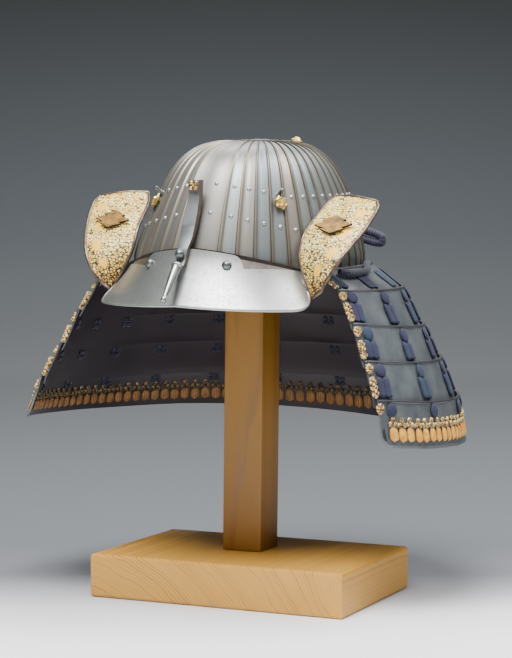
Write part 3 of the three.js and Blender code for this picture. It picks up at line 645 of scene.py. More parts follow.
def rib_along(i):
    """Where rib i stands along the rim; the front plate is wider than the others."""
    rounds, i = divmod(i, RIBS)
    return rounds * RIM_LENGTH + FRONT_PLATE / 2 + i * (RIM_LENGTH - FRONT_PLATE) / (RIBS - 1)


def turn_at(height):
    return acos((height / BOWL_HEIGHT) ** (WALL_POWER / 2))


def on_plate(plate, height, lift):
    """A point on the middle of a plate counted from the front one to the wearer's left, and the normal."""
    whole = floor(plate)
    along = lerp(rib_along(whole - 1), rib_along(whole), 0.5 + plate - whole)
    turn = turn_at(height)
    normal = dome_normal(along, turn)
    return dome_point(along, turn) + normal * lift, normal


# Steps across one plate: the offset from a rib in mm, the rib's lift as a share, the place in the
# plate for the UV map, and how far the plate is domed there.
RIB_STEPS = [(0, 0.45, 0, 0), (0.35, 0.95, 0.03, 0), (1.2, 1.0, 0.08, 0), (2.3, 0.75, 0.13, 0),
             (3.6, 0.25, 0.2, 0), (4.8, 0, 0.26, 0), (None, 0, 0.45, 0.85), (None, 0, 0.62, 1),
             (None, 0, 0.8, 0.75), (-0.9, 0, 0.95, 0), (-0.3, 0.05, 0.985, 0)]
RIDGE_HEIGHT, PLATE_DOME = RIB_HEIGHT * 0.7, 0.5
OUTER_ROWS, INNER_ROWS = 42, 12
OUTSIDE = 1                          # marks a row of the bowl's ribbed outside


def make_bowl():
    hole = asin(HOLE_SHARE ** (CROWN_POWER / 2))
    # Turn from the crown, drop below the rim, and either OUTSIDE or the lift off the dome in mm.
    outer = [(lerp(hole, pi / 2, (i / OUTER_ROWS) ** 1.15), 0.0, OUTSIDE) for i in range(OUTER_ROWS + 1)]
    skirt = [(pi / 2, SKIRT * 0.5, OUTSIDE), (pi / 2, SKIRT * 0.92, OUTSIDE), (pi / 2, SKIRT, 0.3),
             (pi / 2, SKIRT, -BOWL_WALL * 0.7), (pi / 2, SKIRT * 0.8, -BOWL_WALL)]
    inner = [(lerp(pi / 2, hole, i / INNER_ROWS), 0.0, -BOWL_WALL) for i in range(INNER_ROWS + 1)]
    rows = outer + skirt + inner + outer[:1]
    last = len(rows) - 1
    per_rib = len(RIB_STEPS)
    columns = RIBS * per_rib

    def place(u, v):
        column = round(u * columns) % columns
        rib, step = divmod(column, per_rib)
        offset, raised, share_across, bulge = RIB_STEPS[step]
        turn, drop, lift = rows[round(v * last)]
        share = share_at(turn)
        start, end = rib_along(rib), rib_along(rib + 1)
        if offset is None:
            along = lerp(start, end, share_across)
        else:
            along = (start if offset >= 0 else end) + offset
        if lift == OUTSIDE:
            growth = clamp((share - RIB_START) / (RIB_FULL - RIB_START))
            lift = RIDGE_HEIGHT * raised * growth + PLATE_DOME * bulge * growth * (1.3 - share)
        point = dome_point(along, turn) + dome_normal(along, turn) * lift
        point.z -= drop
        return point

    def uv_of(u, v):
        rib, step = divmod(round(u * columns), per_rib)
        return rib + RIB_STEPS[step][2], rows[round(v * last)][0] / (pi / 2)

    bm = bmesh.new()
    inside_from = (OUTER_ROWS + 3) / last
    bent_grid(bm, columns, last, place, uv_of, lambda u, v: 1 if v > inside_from else 0)
    piece(bm, "bowl_plates", [IRON, INSIDE], "iron", "bowl", sharp=60)


# Height of each row of rivets on the front plate, its fall from plate to plate, and its lowest height.
RIVET_ROWS = [(76, 2.6, 63), (48, 3.4, 31)]
RIVET_HEAD = [(0, 1.2), (0.9, 1.05), (1.7, 0.6), (2.2, 0), (2.1, -1.2), (0, -1.2)]


def make_plate_rivets():
    bm = bmesh.new()
    for plate in range(-20, 21):
        apart = abs(plate)
        # The rivets sit a little off the middle of their plates.
        middle = 0.21 if plate == 0 else plate * 1.04 if apart < 5 else plate + 0.2 * plate / apart
        for at_front, fall, lowest in RIVET_ROWS:
            at, normal = on_plate(middle, max(at_front - fall * apart, lowest), 0.6)
            turned(bm, RIVET_HEAD, 12, at, normal)
    piece(bm, "plate_rivets", [VISOR_IRON], "iron")


def height_over_crown(x, y):
    """The dome's height at x, y from the middle of the crown."""
    a = (x / HALF_WIDTH) ** 2 + (y / HALF_LENGTH) ** 2
    b = y * CROWN_BACK / HALF_LENGTH ** 2
    c = (CROWN_BACK / HALF_LENGTH) ** 2 - 1
    share = a / (sqrt(b * b - a * c) - b)
    return BOWL_HEIGHT * (1 - share ** CROWN_POWER) ** (1 / WALL_POWER)


PETALS, PETALS_FROM, PETALS_LONG = 16, 13, 9
# Radius and rise over the dome of the crown ornament, from its opening out and back underneath.
CROWN_ROWS = [(8, 0.1), (8, 1.2), (8.8, 1.6), (9.6, 1.3), (10.4, 0.8), (11.2, 1.3), (12, 0.8), (13, 0.6),
              (16, 0.9), (18, 0.8), (19, 0.7), (20, 0.4), (20, 0.1), (14, 0.1), (8, 0.1)]
BOSS_AT = (40, 27)
BOSS_ROWS = [(0, -1.5), (6.6, -1.5), (7, 0), (6.6, 0.9), (5.2, 1.4), (4.4, 2.4), (3.0, 3.6), (1.4, 4.3),
             (0, 4.4)]


def make_crown():
    last = len(CROWN_ROWS) - 1

    def place(u, v):
        radius, rise = CROWN_ROWS[round(v * last)]
        lobe = abs(sin(pi * PETALS * u))
        if radius > PETALS_FROM:
            radius -= 2.4 * (radius - PETALS_FROM) / PETALS_LONG * (1 - sqrt(lobe))
            if rise > 0.2:
                rise += 0.4 * lobe * (radius - PETALS_FROM) / PETALS_LONG
        x, y = radius * cos(2 * pi * u), radius * sin(2 * pi * u)
        return Vector((x, y + CROWN_BACK, height_over_crown(x, y) + 0.35 + rise))

    bm = bmesh.new()
    bent_grid(bm, PETALS * 8, last, place)
    piece(bm, "crown_ornament", [IRON_BAND], "gilt", "tehen_plate", sharp=45)

    bm = bmesh.new()
    x, y = BOSS_AT
    at = Vector((x, y, height_over_crown(x, y - CROWN_BACK) + RIB_HEIGHT))
    turned(bm, BOSS_ROWS, 24, at, (0.3, 0, 1), lobes=8, lobe_depth=0.07)
    piece(bm, "crown_rivet", [GILT], "gilt", "crown_boss")


STUD_PLATES = {"front_left": 4.22, "rear_left": 17, "rear_right": 25, "front_right": 37.8}
STUD_HEIGHT, CUP_BELOW = 65, 9
STUD_ROWS = [(0, 0), (2.7, 0), (2.6, 1.4), (1.9, 2.6), (1.7, 6), (2.1, 8), (1.9, 9.3), (1.1, 10), (0, 10.1)]
CUP_ROWS = [(0, 0), (4.2, 0), (5.0, 1.0), (6.6, 2.0), (7.9, 3.2), (7.8, 4.6), (6.4, 5.2), (5.0, 4.2),
            (4.0, 4.8), (3.2, 6.4), (1.8, 7.2), (0, 7.2)]


def make_studs():
    for where, plate in STUD_PLATES.items():
        at, normal = on_plate(plate, STUD_HEIGHT, 0.1)
        bm = bmesh.new()
        turned(bm, STUD_ROWS, 14, at, (normal + Vector((0, 0, 0.25))).normalized())
        piece(bm, "post_" + where, [STEEL], "steel", "stud_" + where)
        at, normal = on_plate(plate, STUD_HEIGHT - CUP_BELOW, 0.1)
        bm = bmesh.new()
        turned(bm, CUP_ROWS, 48, at, normal, lobes=6, lobe_depth=0.24)
        piece(bm, "rosette_" + where, [GILT], "gilt", "cup_" + where)


# ------------------------------------------------------------------ visor and crest holder

VISOR_WALL, FLARE_SIDE, FLARE_FRONT, FLARE_POWER = 1.8, 36, 31, 1.25
VISOR_GAP, FACE_WALL = 2.5, 0.7      # between the bowl and the visor, and the face sheet's thickness
HEM_AZIMUTH, TOP_AZIMUTH, CORNER, CORNER_HIGH = 49.5, 54.5, 6, 0.3
TOP_MIDDLE, TOP_END, BOTTOM, BOTTOM_DIP = 14.5, -8, -40.2, 4.0
VISOR_RIVETS, RIVET_UP = {"left": 0.67, "right": 0.295}, 0.78


def visor_point(u, v, lift):
    """A point of the peak; u runs from the wearer's right to the left and v upwards."""
    in_corner = max(0, 1 - v / CORNER_HIGH)
    rounding = CORNER * (1 - sqrt(max(0, 1 - in_corner ** 2)))
    azimuth = radians((2 * u - 1) * (lerp(HEM_AZIMUTH, TOP_AZIMUTH, v) - rounding))
    top = lerp(TOP_MIDDLE, TOP_END, abs(2 * u - 1) ** 1.5)
    bottom = BOTTOM - BOTTOM_DIP * sin(2 * abs(azimuth))
    flare = (1 - v) ** FLARE_POWER
    a = HALF_WIDTH + VISOR_GAP + lift + FLARE_SIDE * flare
    b = HALF_LENGTH + VISOR_GAP + lift + FLARE_FRONT * flare
    return Vector((a * sin(azimuth), -b * cos(azimuth), lerp(bottom, top, v)))


def face_top(u):
    """How far up the face sheet reaches: right up in the middle tab, lower beside it."""
    side = abs(2 * u - 1)
    low = lerp(0.765, 0.935, clamp((side - 0.5) / 0.42))
    round_off = clamp((side - 0.385) / 0.09)
    return lerp(0.982, low, 1 - sqrt(1 - round_off ** 2))


def make_visor():
    bm = bmesh.new()
    steps = 16
    rows = [("v", 0, 0.2), ("v", 0, VISOR_WALL + FACE_WALL)]
    rows += [("face", i / steps, VISOR_WALL + FACE_WALL) for i in range(1, steps + 1)]
    rows += [("over", 0, VISOR_WALL), ("over", 0.5, VISOR_WALL), ("over", 1, VISOR_WALL),
             ("gap", 0.05, VISOR_WALL - 1.5), ("gap", 1, VISOR_WALL - 1.5), ("v", 1, 0.1)]
    rows += [("v", 1 - i / 10, 0) for i in range(1, 10)] + [("v", 0, 0.2)]
    last = len(rows) - 1
    # The finish changes after these rows: strip over the face sheet, open seam in painted shadow, lacquered
    # back.
    strip_from, gap_from, inside_from = steps + 1.5, steps + 4, steps + 6.9

    def place(u, v):
        kind, share, lift = rows[round(v * last)]
        top = face_top(u)
        side = abs(2 * u - 1)
        open_by = lerp(0.018, 0.075, clamp((side - 0.36) / 0.08)) * clamp((1 - side) / 0.05)
        gap = max(top, 1 - open_by)
        at = {"v": share, "face": top * share, "over": lerp(min(top + 0.004, gap), gap, share),
              "gap": lerp(gap, 1, share)}[kind]
        return visor_point(u, at, lift)

    def finish_of(u, v):
        row = v * last
        return 3 if row > inside_from else 2 if row > gap_from else 1 if row > strip_from else 0

    bent_grid(bm, 160, last, place, slot=finish_of)
    close_ends(bm)
    # The edge of the peak is rolled, down both ends and along the front.
    down = (0.98, 0.8, 0.6, 0.4, 0.25, 0.15, 0.08, 0.03)
    edge = [visor_point(0, v, 1.4) for v in down] + [visor_point(u / 40, 0, 1.4) for u in range(41)]
    edge += [visor_point(1, v, 1.4) for v in down[::-1]]
    tube(bm, edge, 1.25, 8, 2)
    piece(bm, "visor_peak", [VISOR_IRON, IRON_BAND, SHADOW_BAND, INSIDE], "iron", "visor", sharp=35)
    for where, u in VISOR_RIVETS.items():
        at = visor_point(u, RIVET_UP, VISOR_WALL + FACE_WALL - 0.1)
        across_face = visor_point(u + 0.01, RIVET_UP, 0) - visor_point(u - 0.01, RIVET_UP, 0)
        up = visor_point(u, RIVET_UP + 0.02, 0) - visor_point(u, RIVET_UP - 0.02, 0)
        bm = bmesh.new()
        turned(bm, domed(5, 4.6), 24, at, across_face.cross(up))
        piece(bm, "visor_dome_" + where, [STEEL], "steel", "visor_rivet_" + where)


HOLDER_SIDE = -4.4
# Height, place of the rear face, width and depth of each section of the sleeve, from the top down.
HOLDER = [(80, -112, 10.5, 10), (62, -115.5, 12, 8.8), (41, -125.2, 14, 8.2), (25, -134.2, 13.5, 6.5),
          (13, -142.4, 11, 6.3), (3, -147, 10.5, 5.6), (-2, -151, 10.5, 6)]
# The sleeve's outline, as shares of its half width and its depth.
SLEEVE_CORNERS = [(-1, 0.06), (-0.9, 0), (0.9, 0), (1, 0.06), (1, 0.94), (0.9, 1), (-0.9, 1), (-1, 0.94),
                  (-1, 0.06)]
BADGE_SIZE, BADGE_LEAN, BADGE_Y, BADGE_Z = (10.8, 1.2, 11), 7.3, -123.6, 74.5
RIVET_AT, RIVET_AIM = (HOLDER_SIDE, -151, 7.8), (0, -0.93, 0.37)
PIN_AT, PIN_AIM = (HOLDER_SIDE, -158.9, -1.2), (0, -30.3, -33.9)
PIN_ROWS = [(0, 0), (5.2, 0), (5.7, 0.8), (5.7, 1.8), (5.0, 2.6), (4.5, 3.2), (4.5, 6), (4.3, 12), (3.7, 22),
            (3.0, 31), (2.5, 37), (2.4, 38.6), (2.7, 40), (3.1, 41.6), (3.1, 43.2), (2.4, 44.8), (1.2, 45.4),
            (0, 45.5)]


def make_holder():
    fine = smooth_path(HOLDER, 5)
    last = len(fine) - 1

    def place(u, v):
        z, y, width, depth = fine[round(v * last)]
        x, out = SLEEVE_CORNERS[round(u * 8)]
        return Vector((HOLDER_SIDE + x * width / 2, y - out * depth, z))

    bm = bmesh.new()
    # The front face is wiped, the two sides and the back stay brown.
    bent_grid(bm, 8, last, place, slot=lambda u, v: 0 if 0.5 < u < 0.875 else 1)
    close_ends(bm)
    piece(bm, "crest_sleeve", [WIPED_STEEL, BROWN_STEEL], "steel", "crest_holder", sharp=30)

    # A small square plate with four gilt beads and a fifth in its middle.
    bm = bmesh.new()
    made = bmesh.ops.create_cube(bm, size=1)["verts"]
    bmesh.ops.scale(bm, vec=BADGE_SIZE, verts=made)
    bmesh.ops.bevel(bm, geom=bm.edges[:], offset=0.4, affect="EDGES", segments=2, profile=0.5, material=-1)
    lean = Matrix.Rotation(-radians(BADGE_LEAN), 3, "X")
    bmesh.ops.rotate(bm, cent=(0, 0, 0), matrix=lean, verts=bm.verts)
    bmesh.ops.translate(bm, vec=(HOLDER_SIDE, BADGE_Y, BADGE_Z), verts=bm.verts)
    out = BADGE_Y - 0.7
    for x in (-2.7, 2.7):
        for z in (72, 77.4):
            at = (HOLDER_SIDE + x, out + (z - BADGE_Z) * 0.128, z)
            turned(bm, domed(2.1, 1.4, 4), 12, at, (0, -1, 0.1), slot=1)
    turned(bm, domed(1.6, 1.9, 4), 12, (HOLDER_SIDE, out, BADGE_Z + 0.2), (0, -1, 0.1), slot=1)
    piece(bm, "sleeve_plate", [BROWN_STEEL, GILT], "gilt", "holder_plate")

    bm = bmesh.new()
    ball = [(0, 0)] + [(4.7 * sin(pi * i / 12), 3.6 - 4.2 * cos(pi * i / 12)) for i in range(2, 13)]
    turned(bm, ball, 24, RIVET_AT, RIVET_AIM)
    piece(bm, "sleeve_rivet", [STEEL], "steel", "holder_rivet")

    bm = bmesh.new()
    turned(bm, PIN_ROWS, 24, PIN_AT, PIN_AIM)
    piece(bm, "sleeve_pin", [BRIGHT_STEEL], "steel", "holder_pin")


# ------------------------------------------------------------------ turnbacks and crests

TURNBACK_ROWS, TURNBACK_WALL, TURNBACK_BULGE = 40, 1.8, 3
FINE_TURNBACK = [smooth_path([row[k] for row in TURNBACK], TURNBACK_ROWS // (len(TURNBACK) - 1))
                 for k in (0, 1)]
FACE_OUT = Vector((-0.28, -0.68, 0.68))
CREST_UP, CREST_THICK = 0.62, 2.2
CREST_HALF_WIDTH, CREST_HALF_HEIGHT = 20, 13.2
# A quarter of the crest's outline: a large lozenge with a smaller one stepped out above it.
CREST_QUARTER = [(1, 0), (0.44, 0.36), (0.62, 0.48), (0, 0.94)]


def turnback_point(side, u, v, lift):
    """A point of a turnback; u runs from its inner to its outer edge and v up from the tip."""
    i = v * TURNBACK_ROWS
    low = min(int(i), TURNBACK_ROWS - 1)
    inner, outer = (edge[low].lerp(edge[low + 1], i - low) for edge in FINE_TURNBACK)
    point = inner.lerp(outer, u) + FACE_OUT * (lift + 4 * TURNBACK_BULGE * u * (1 - u))
    return Vector((side * point.x, point.y, point.z))


def make_turnback(side, where):
    strips = 14
    bm = bmesh.new()
    # The face and the back are one band that closes on itself across the plate.
    section = [(i / strips, TURNBACK_WALL) for i in range(strips + 1)]
    section += [(1 - i / strips, 0) for i in range(strips + 1)] + section[:1]
    last = len(section) - 1

    def place(u, v):
        aside, lift = section[round(u * last)]
        return turnback_point(side, aside, v, lift)

    bent_grid(bm, last, TURNBACK_ROWS, place, lambda u, v: (section[round(u * last)][0], v),
              lambda u, v: 1 if u > 0.5 else 0)
    close_ends(bm)
    rim = [turnback_point(side, 0, v / 24, TURNBACK_WALL / 2) for v in range(25)]
    rim += [turnback_point(side, u / 8, 1, TURNBACK_WALL / 2) for u in range(1, 9)]
    rim += [turnback_point(side, 1, 1 - v / 24, TURNBACK_WALL / 2) for v in range(1, 24)]
    tube(bm, rim, 1.6, 10, 3, closed=True, slot=2, up=FACE_OUT)
    piece(bm, "turnback_plate_" + where, [LEATHER, LACQUER, RIM], "gilt_leather", "turnback_" + where,
          sharp=50)


def make_crest(side, where):
    """The stepped lozenge on a turnback, cut from plate."""
    corners = CREST_QUARTER + [(-x, y) for x, y in CREST_QUARTER[2:0:-1]]
    corners += [(-x, -y) for x, y in CREST_QUARTER] + [(x, -y) for x, y in CREST_QUARTER[2:0:-1]]
    middle = turnback_point(side, 0.5, CREST_UP, TURNBACK_WALL + 1.4)
    aside = turnback_point(side, 0.95, CREST_UP, 0) - turnback_point(side, 0.05, CREST_UP, 0)
    aside = aside.normalized() * side
    up = turnback_point(side, 0.5, CREST_UP + 0.1, 0) - turnback_point(side, 0.5, CREST_UP - 0.1, 0)
    normal = aside.cross(up).normalized()
    if normal.dot(Vector((side * FACE_OUT.x, FACE_OUT.y, FACE_OUT.z))) < 0:
        normal = -normal
    up = normal.cross(aside).normalized()
    up = up if up.z > 0 else -up
    bm = bmesh.new()
    outline = [bm.verts.new(middle + aside * (x * CREST_HALF_WIDTH) + up * (y * CREST_HALF_HEIGHT))
               for x, y in corners]
    raised = bmesh.ops.extrude_face_region(bm, geom=[bm.faces.new(outline)])["geom"]
    top = [g for g in raised if isinstance(g, bmesh.types.BMVert)]
    bmesh.ops.translate(bm, vec=normal * CREST_THICK, verts=top)
    bm.normal_update()
    # The sides take the painted shade.
    for face in bm.faces:
        face.material_index = 1 if abs(face.normal.dot(normal)) < 0.5 else 0
    piece(bm, "lozenge_" + where, [BRONZE, BRONZE_EDGE], "bronze", "crest_" + where, sharp=30)


# ------------------------------------------------------------------ neck guard

RISE_FROM = 55                       # degrees from the back at which the lames start to rise to the front


def front_rise(angle):
    return clamp((abs(angle) - RISE_FROM) / (LAME_SPAN - RISE_FROM)) ** 2


def lame_rows(n):
    """Hidden edge, foot and top of lame n as (side, back, height, rise)."""
    side, back, z, rise = LAME_EDGES[n + 1]
    if n == HEM:
        return (side, back, z, rise), (side, back, z, rise), LAME_EDGES[n]
    below = LAME_EDGES[n + 2]
    run = LAME_OVERLAP / (z - below[2])
    foot = (side - LAME_TUCK, back - LAME_TUCK, z, rise)
    end = (foot[0] + run * (below[0] - side), foot[1] + run * (below[1] - back),
           z - run * (z - below[2]), rise)
    return end, foot, LAME_EDGES[n]


LAME_TABLE = [lame_rows(n) for n in range(HEM + 1)]
# Angle from the back and how far the hem hangs lower there, in mm: the guard has sagged at the back left.
SAG = [(-180, 0), (-80, 0), (-45, 2), (-20, 5), (0, 8), (30, 12), (60, 8), (90, 6), (122, 5), (180, 5)]


LEFT_DRAWN_IN, RIGHT_DRAWN_IN, RIGHT_FLARED = 2.2, 3.4, 5.5


def level_of(n, share):
    """How far down the guard a point is: 0 at its top edge and 1 at the hem."""
    return clamp((n + 1 - share) / (HEM + 1))


def sag(n, angle, share):
    """How far a point has sunk; nearly all of it is in the hem."""
    for (a, low), (b, high) in zip(SAG, SAG[1:]):
        if a <= angle <= b:
            return level_of(n, share) ** 7 * lerp(low, high, (angle - a) / (b - a))
    return 0


def spread(n, angle, share):
    """How far the guard is bent out of round: drawn in, and at the right flared out again at the hem."""
    level = level_of(n, share)
    if angle > 0:
        return -LEFT_DRAWN_IN * level ** 0.5 * sin(pi * clamp((angle - 25) / 90))
    flared = RIGHT_FLARED * level ** 6 - RIGHT_DRAWN_IN * sin(pi * level) ** 0.8
    return clamp((-angle - 70) / 40) * flared


def lame_span(n, share=1):
    """Half the angle that a lame covers; the hem's lower corners are rounded off."""
    if n == HEM:
        return LAME_SPAN + 1.2 - 3 * max(0, 1 - share / 0.25) ** 2
    return LAME_SPAN + (1.9 if n else 0.3)


def lame_point(n, angle, share, lift):
    """A point of lame n at an angle from the back; share is 0 at the hidden edge and 1 at the top."""
    end, foot, top = LAME_TABLE[n]
    if n == HEM:
        low, high, t = end, top, share
    elif share < FOOT:
        low, high, t = end, foot, share / FOOT
    else:
        low, high, t = foot, top, (share - FOOT) / (1 - FOOT)
    side, back, z, rise = (lerp(a, b, t) for a, b in zip(low, high))
    turn = radians(angle)
    lift += spread(n, angle, share)
    return Vector(((side + lift) * sin(turn), (back + lift) * cos(turn),
                   z + rise * front_rise(angle) - sag(n, angle, share)))


def out_of_lame(n, angle):
    """The direction straight out of a lame, half way up it."""
    return (lame_point(n, angle, 0.5, 1) - lame_point(n, angle, 0.5, 0)).normalized()


def lame_drop(n):
    return LAME_EDGES[n][2] - LAME_EDGES[n + 1][2]


def share_below(n, down):
    """The share at a distance in mm below the lame's top edge."""
    share = 1 - down / lame_drop(n)
    return share if n == HEM else FOOT + (1 - FOOT) * share


def degrees_per_mm(n, down=20):
    """The angle of one mm along lame n, at a distance below its top edge."""
    down = clamp(down, 0, lame_drop(n))
    return degrees(1.0 / lerp(LAME_EDGES[n][0], LAME_EDGES[n + 1][0], down / lame_drop(n)))


def make_lames():
    for n in range(HEM + 1):
        # Each section runs up the outside over a raised line at the top edge and down the inside.
        bead = [(BEAD_HEIGHT + 0.6, 0), (BEAD_HEIGHT, BEAD_OUT * 0.7), (BEAD_HEIGHT * 0.75, BEAD_OUT),
                (BEAD_HEIGHT * 0.25, BEAD_OUT), (0, BEAD_OUT * 0.6)]
        top = [(share_below(n, down), LAME_WALL + out) for down, out in bead]
        if n == HEM:
            low = [(0, 0.2), (0, LAME_WALL + 0.9), (0.02, LAME_WALL + 1.3), (0.045, LAME_WALL + 1.1),
                   (0.06, LAME_WALL + 0.1)] + [(share, LAME_WALL) for share in (0.1, 0.2, 0.4, 0.7)]
        else:
            low = [(0, 0.2), (0, LAME_WALL), (FOOT, LAME_WALL), (0.4, LAME_WALL), (0.7, LAME_WALL)]
        inner = [(1, 0.2), (0.98, 0), (0.7, 0), (0.4, 0), (0.2, 0), (0.1, 0), (0, 0.2)]
        section = low + top + inner
        last = len(section) - 1
        inside_from, bead_from = (len(low) + len(top) - 0.5) / last, (len(low) + 1.2) / last

        def place(u, v, n=n, section=section, last=last):
            share, lift = section[round(v * last)]
            return lame_point(n, (2 * u - 1) * lame_span(n, share), share, lift)

        def finish_of(u, v, inside_from=inside_from, bead_from=bead_from):
            return 1 if v > inside_from else 2 if v > bead_from else 0

        bm = bmesh.new()
        bent_grid(bm, 120, last, place, slot=finish_of)
        close_ends(bm)
        if n == HEM:
            # The raised line of the hem goes on up its front edges.
            for side in (1, -1):
                tube(bm, [lame_point(n, side * (lame_span(n, share) - 0.2), share, LAME_WALL * 0.6)
                          for share in (0.0, 0.04, 0.1, 0.2, 0.4, 0.7, 0.99)], 1.25, 8, 3)
        else:
            for face in bm.faces:
                if len(face.verts) > 4:
                    face.material_index = 2
        piece(bm, f"lame_plate_{n + 1}", [LACQUER, INSIDE, EDGE_LACQUER], "lacquer", f"lame_{n + 1}",
              sharp=40)


def strand(bm, n, angle, shift, top, bottom, width, thick, lean=0.0, seat=0.3, point=False, slot=0,
           sides=8, rows=9, inside=False):
    """One flat strand lying on lame n: from top to bottom in mm below the edge, shift mm to one side.

    It leans over by so many mm on its way down and lies seat mm off the plate. Its top is round,
    and its foot is blunt or tapers to a point."""
    length = bottom - top

    def place(u, v):
        down = top + length * v
        from_top = min(v * length / (width * 0.55), 1)
        shape = sqrt(clamp(1 - (1 - from_top) ** 2))
        if point:
            tail = clamp((v - 0.45) / 0.55)
            shape *= sqrt(max(0, 1 - tail ** 2.0))
        else:
            from_low = min((1 - v) * length / (width * 0.3), 1)
            shape *= sqrt(clamp(1 - (1 - from_low) ** 2))
        turn = 2 * pi * u
        aside = shift + lean * v + 0.5 * width * shape * cos(turn)
        height = thick * shape ** 0.5 * (0.5 + 0.5 * sin(turn))
        lift = -seat - height if inside else LAME_WALL + seat + height
        return lame_point(n, angle + aside * degrees_per_mm(n, down), share_below(n, down), lift)

    bent_grid(bm, sides, rows, place, lambda u, v: (u, v * length), slot)


# Each column has two flat strands side by side on a lame, which come up through the next one and
# cross over its top edge as one wide knot.
LACE_WIDTH, LACE_THICK, LACE_APART = 8.6, 3.4, 4.1
KNOT_TOP, KNOT_LOW, KNOT_WIDTH, KNOT_THICK = 2.4, 15.8, 13.5, 3.6
STITCH, STITCH_WIDTH, STITCH_APART, STITCH_THICK = 5.8, 5.8, 3.5, 1.8
INNER_STITCHES = {2: 9.0, 3: 10.0, 4: 6.0}       # lame and how far below its top edge they start


def make_laces():
    rng = random.Random(11)
    for i, angle in enumerate(LACE_ANGLES):
        bm = bmesh.new()
        for n in range(HEM + 1):
            sway = rng.uniform(-0.7, 0.7)
            if n:
                strand(bm, n, angle, -1.5 + sway, KNOT_TOP, KNOT_LOW, KNOT_WIDTH, KNOT_THICK, lean=2.0,
                       point=True, rows=12, sides=12)
            if n < HEM:
                first = 14.6 if n else 6.5
                for side in (-1, 1):
                    start = first + rng.uniform(-0.5, 0.5)
                    strand(bm, n, angle, side * LACE_APART + sway, start, lame_drop(n) - 0.7, LACE_WIDTH,
                           LACE_THICK, lean=1.0, rows=11, sides=12)
            if n in INNER_STITCHES:
                # The two stitches show on the inside as a pair of small dark loops.
                for side in (-1, 1):
                    for down in (INNER_STITCHES[n], INNER_STITCHES[n] + 5.4):
                        strand(bm, n, angle, side * STITCH_APART, down, down + STITCH, STITCH_WIDTH,
                               STITCH_THICK, rows=5, seat=0.1, inside=True, slot=1)
        piece(bm, f"lacing_{i + 1}", [SILK, CORD], "silk", f"lace_{i + 1}", sharp=80)


def helix(n, angle, top, bottom, phase, radius, turns, out):
    """Points of one cord that winds down the front edge of a lame."""
    points = []
    steps = max(6, int(turns * 8))
    for k in range(steps + 1):
        t = k / steps
        down = lerp(top, bottom, t)
        turn = 2 * pi * turns * t + phase
        aside = radius * cos(turn) * degrees_per_mm(n, down)
        lift = LAME_WALL + out + radius * 0.6 * (1 + sin(turn))
        points.append(lame_point(n, angle + aside, share_below(n, down), lift))
    return points


def rosette(bm, n, angle, down, size):
    """A round knot of one cord, lying on the lame."""
    lift = LAME_WALL + 1.4
    ring = []
    for turn in (2 * pi * k / 8 for k in range(8)):
        aside = size * cos(turn) * degrees_per_mm(n, down)
        ring.append(lame_point(n, angle + aside, share_below(n, down + size * 1.15 * sin(turn)),
                               lift + 0.4 * sin(2 * turn)))
    normal = out_of_lame(n, angle)
    tube(bm, ring, 1.6, 6, 2, closed=True, up=normal)
    at = lame_point(n, angle, share_below(n, down), lift - 0.6)
    turned(bm, domed(size * 0.62, 1.6, 3), 8, at, normal)


EDGE_KNOT_DOWN, EDGE_KNOT_SIZE, EDGE_CORDS_FROM = 8.0, 3.1, 16.0


def make_edge_braids():
    """Down each front edge of the guard: a gold knot on every lame and two cords wound round each other."""
    for where, side in (("right", -1), ("left", 1)):
        bm = bmesh.new()
        angle = side * (LAME_SPAN + 1.0)
        for n in range(1, HEM + 1):
            rosette(bm, n, angle, EDGE_KNOT_DOWN, EDGE_KNOT_SIZE)
        for phase in (0, pi):
            for n in range(1, HEM):
                path = helix(n, angle, EDGE_CORDS_FROM, lame_drop(n) - 1.2, phase, 2.3, 1.8, 0.6)
                tube(bm, path, 1.9, 6, 2)
            tube(bm, helix(0, angle, 9, lame_drop(0) - 1, phase, 1.6, 1.0, 1.0), 1.6, 6, 2)
        piece(bm, "gold_edge_" + where, [BRAID], "gold_braid", "edge_braid_" + where, sharp=80)


def hem_angles(pitch, end):
    """Angles of evenly spaced tabs along the hem, from one front edge to the other."""
    steps = 960
    sums, angles = [0.0], [-end]
    for k in range(1, steps + 1):
        angle = lerp(-end, end, k / steps)
        gap = (lame_point(HEM, angle, 0.2, 0) - lame_point(HEM, angles[-1], 0.2, 0)).length
        sums.append(sums[-1] + gap)
        angles.append(angle)
    count = round(sums[-1] / pitch)
    out, at = [], 0
    for k in range(count + 1):
        goal = sums[-1] * k / count
        while sums[at] < goal and at < steps:
            at += 1
        out.append(angles[at])
    return out


TAB_LENGTH, TAB_THICK, TAB_LOW, TAB_END = 13.5, 2.4, 5.0, 2.6   # the last is in degrees from the edge
KNOTS_UP = 16.0
# Place to the side, place below the middle of the three, and radius of the small knots over each tab.
TAB_KNOTS = [(-3.2, 0.9, 2.7), (3.2, 0.9, 2.7), (0, -3.2, 2.9)]


def make_hem(name, node, finishes, pitch, width, seed, inside):
    """A row of stitched tabs along the hem, each with three small knots over it."""
    rng = random.Random(seed)
    bm = bmesh.new()
    foot = lame_drop(HEM) - TAB_LOW
    out, lift = (-1, -1.2) if inside else (1, LAME_WALL + 1.2)
    for angle in hem_angles(pitch, LAME_SPAN - TAB_END):
        off = rng.uniform(-0.4, 0.4)
        strand(bm, HEM, angle, 0, foot - TAB_LENGTH + off, foot + off * 0.5, width, TAB_THICK,
               rows=6, seat=0.1, inside=inside)
        for aside, below, size in TAB_KNOTS:
            knot_angle = angle + aside * degrees_per_mm(HEM)
            at = lame_point(HEM, knot_angle, share_below(HEM, foot - KNOTS_UP + below + off), lift)
            rows = [(0, -1.2), (size, -0.6), (size, 0.6), (size * 0.5, 1.3), (0, 1.1)]
            turned(bm, rows, 6, at, out_of_lame(HEM, knot_angle) * out, slot=1)
    piece(bm, name, finishes, "gold_braid", node, sharp=80)


# ------------------------------------------------------------------ cords

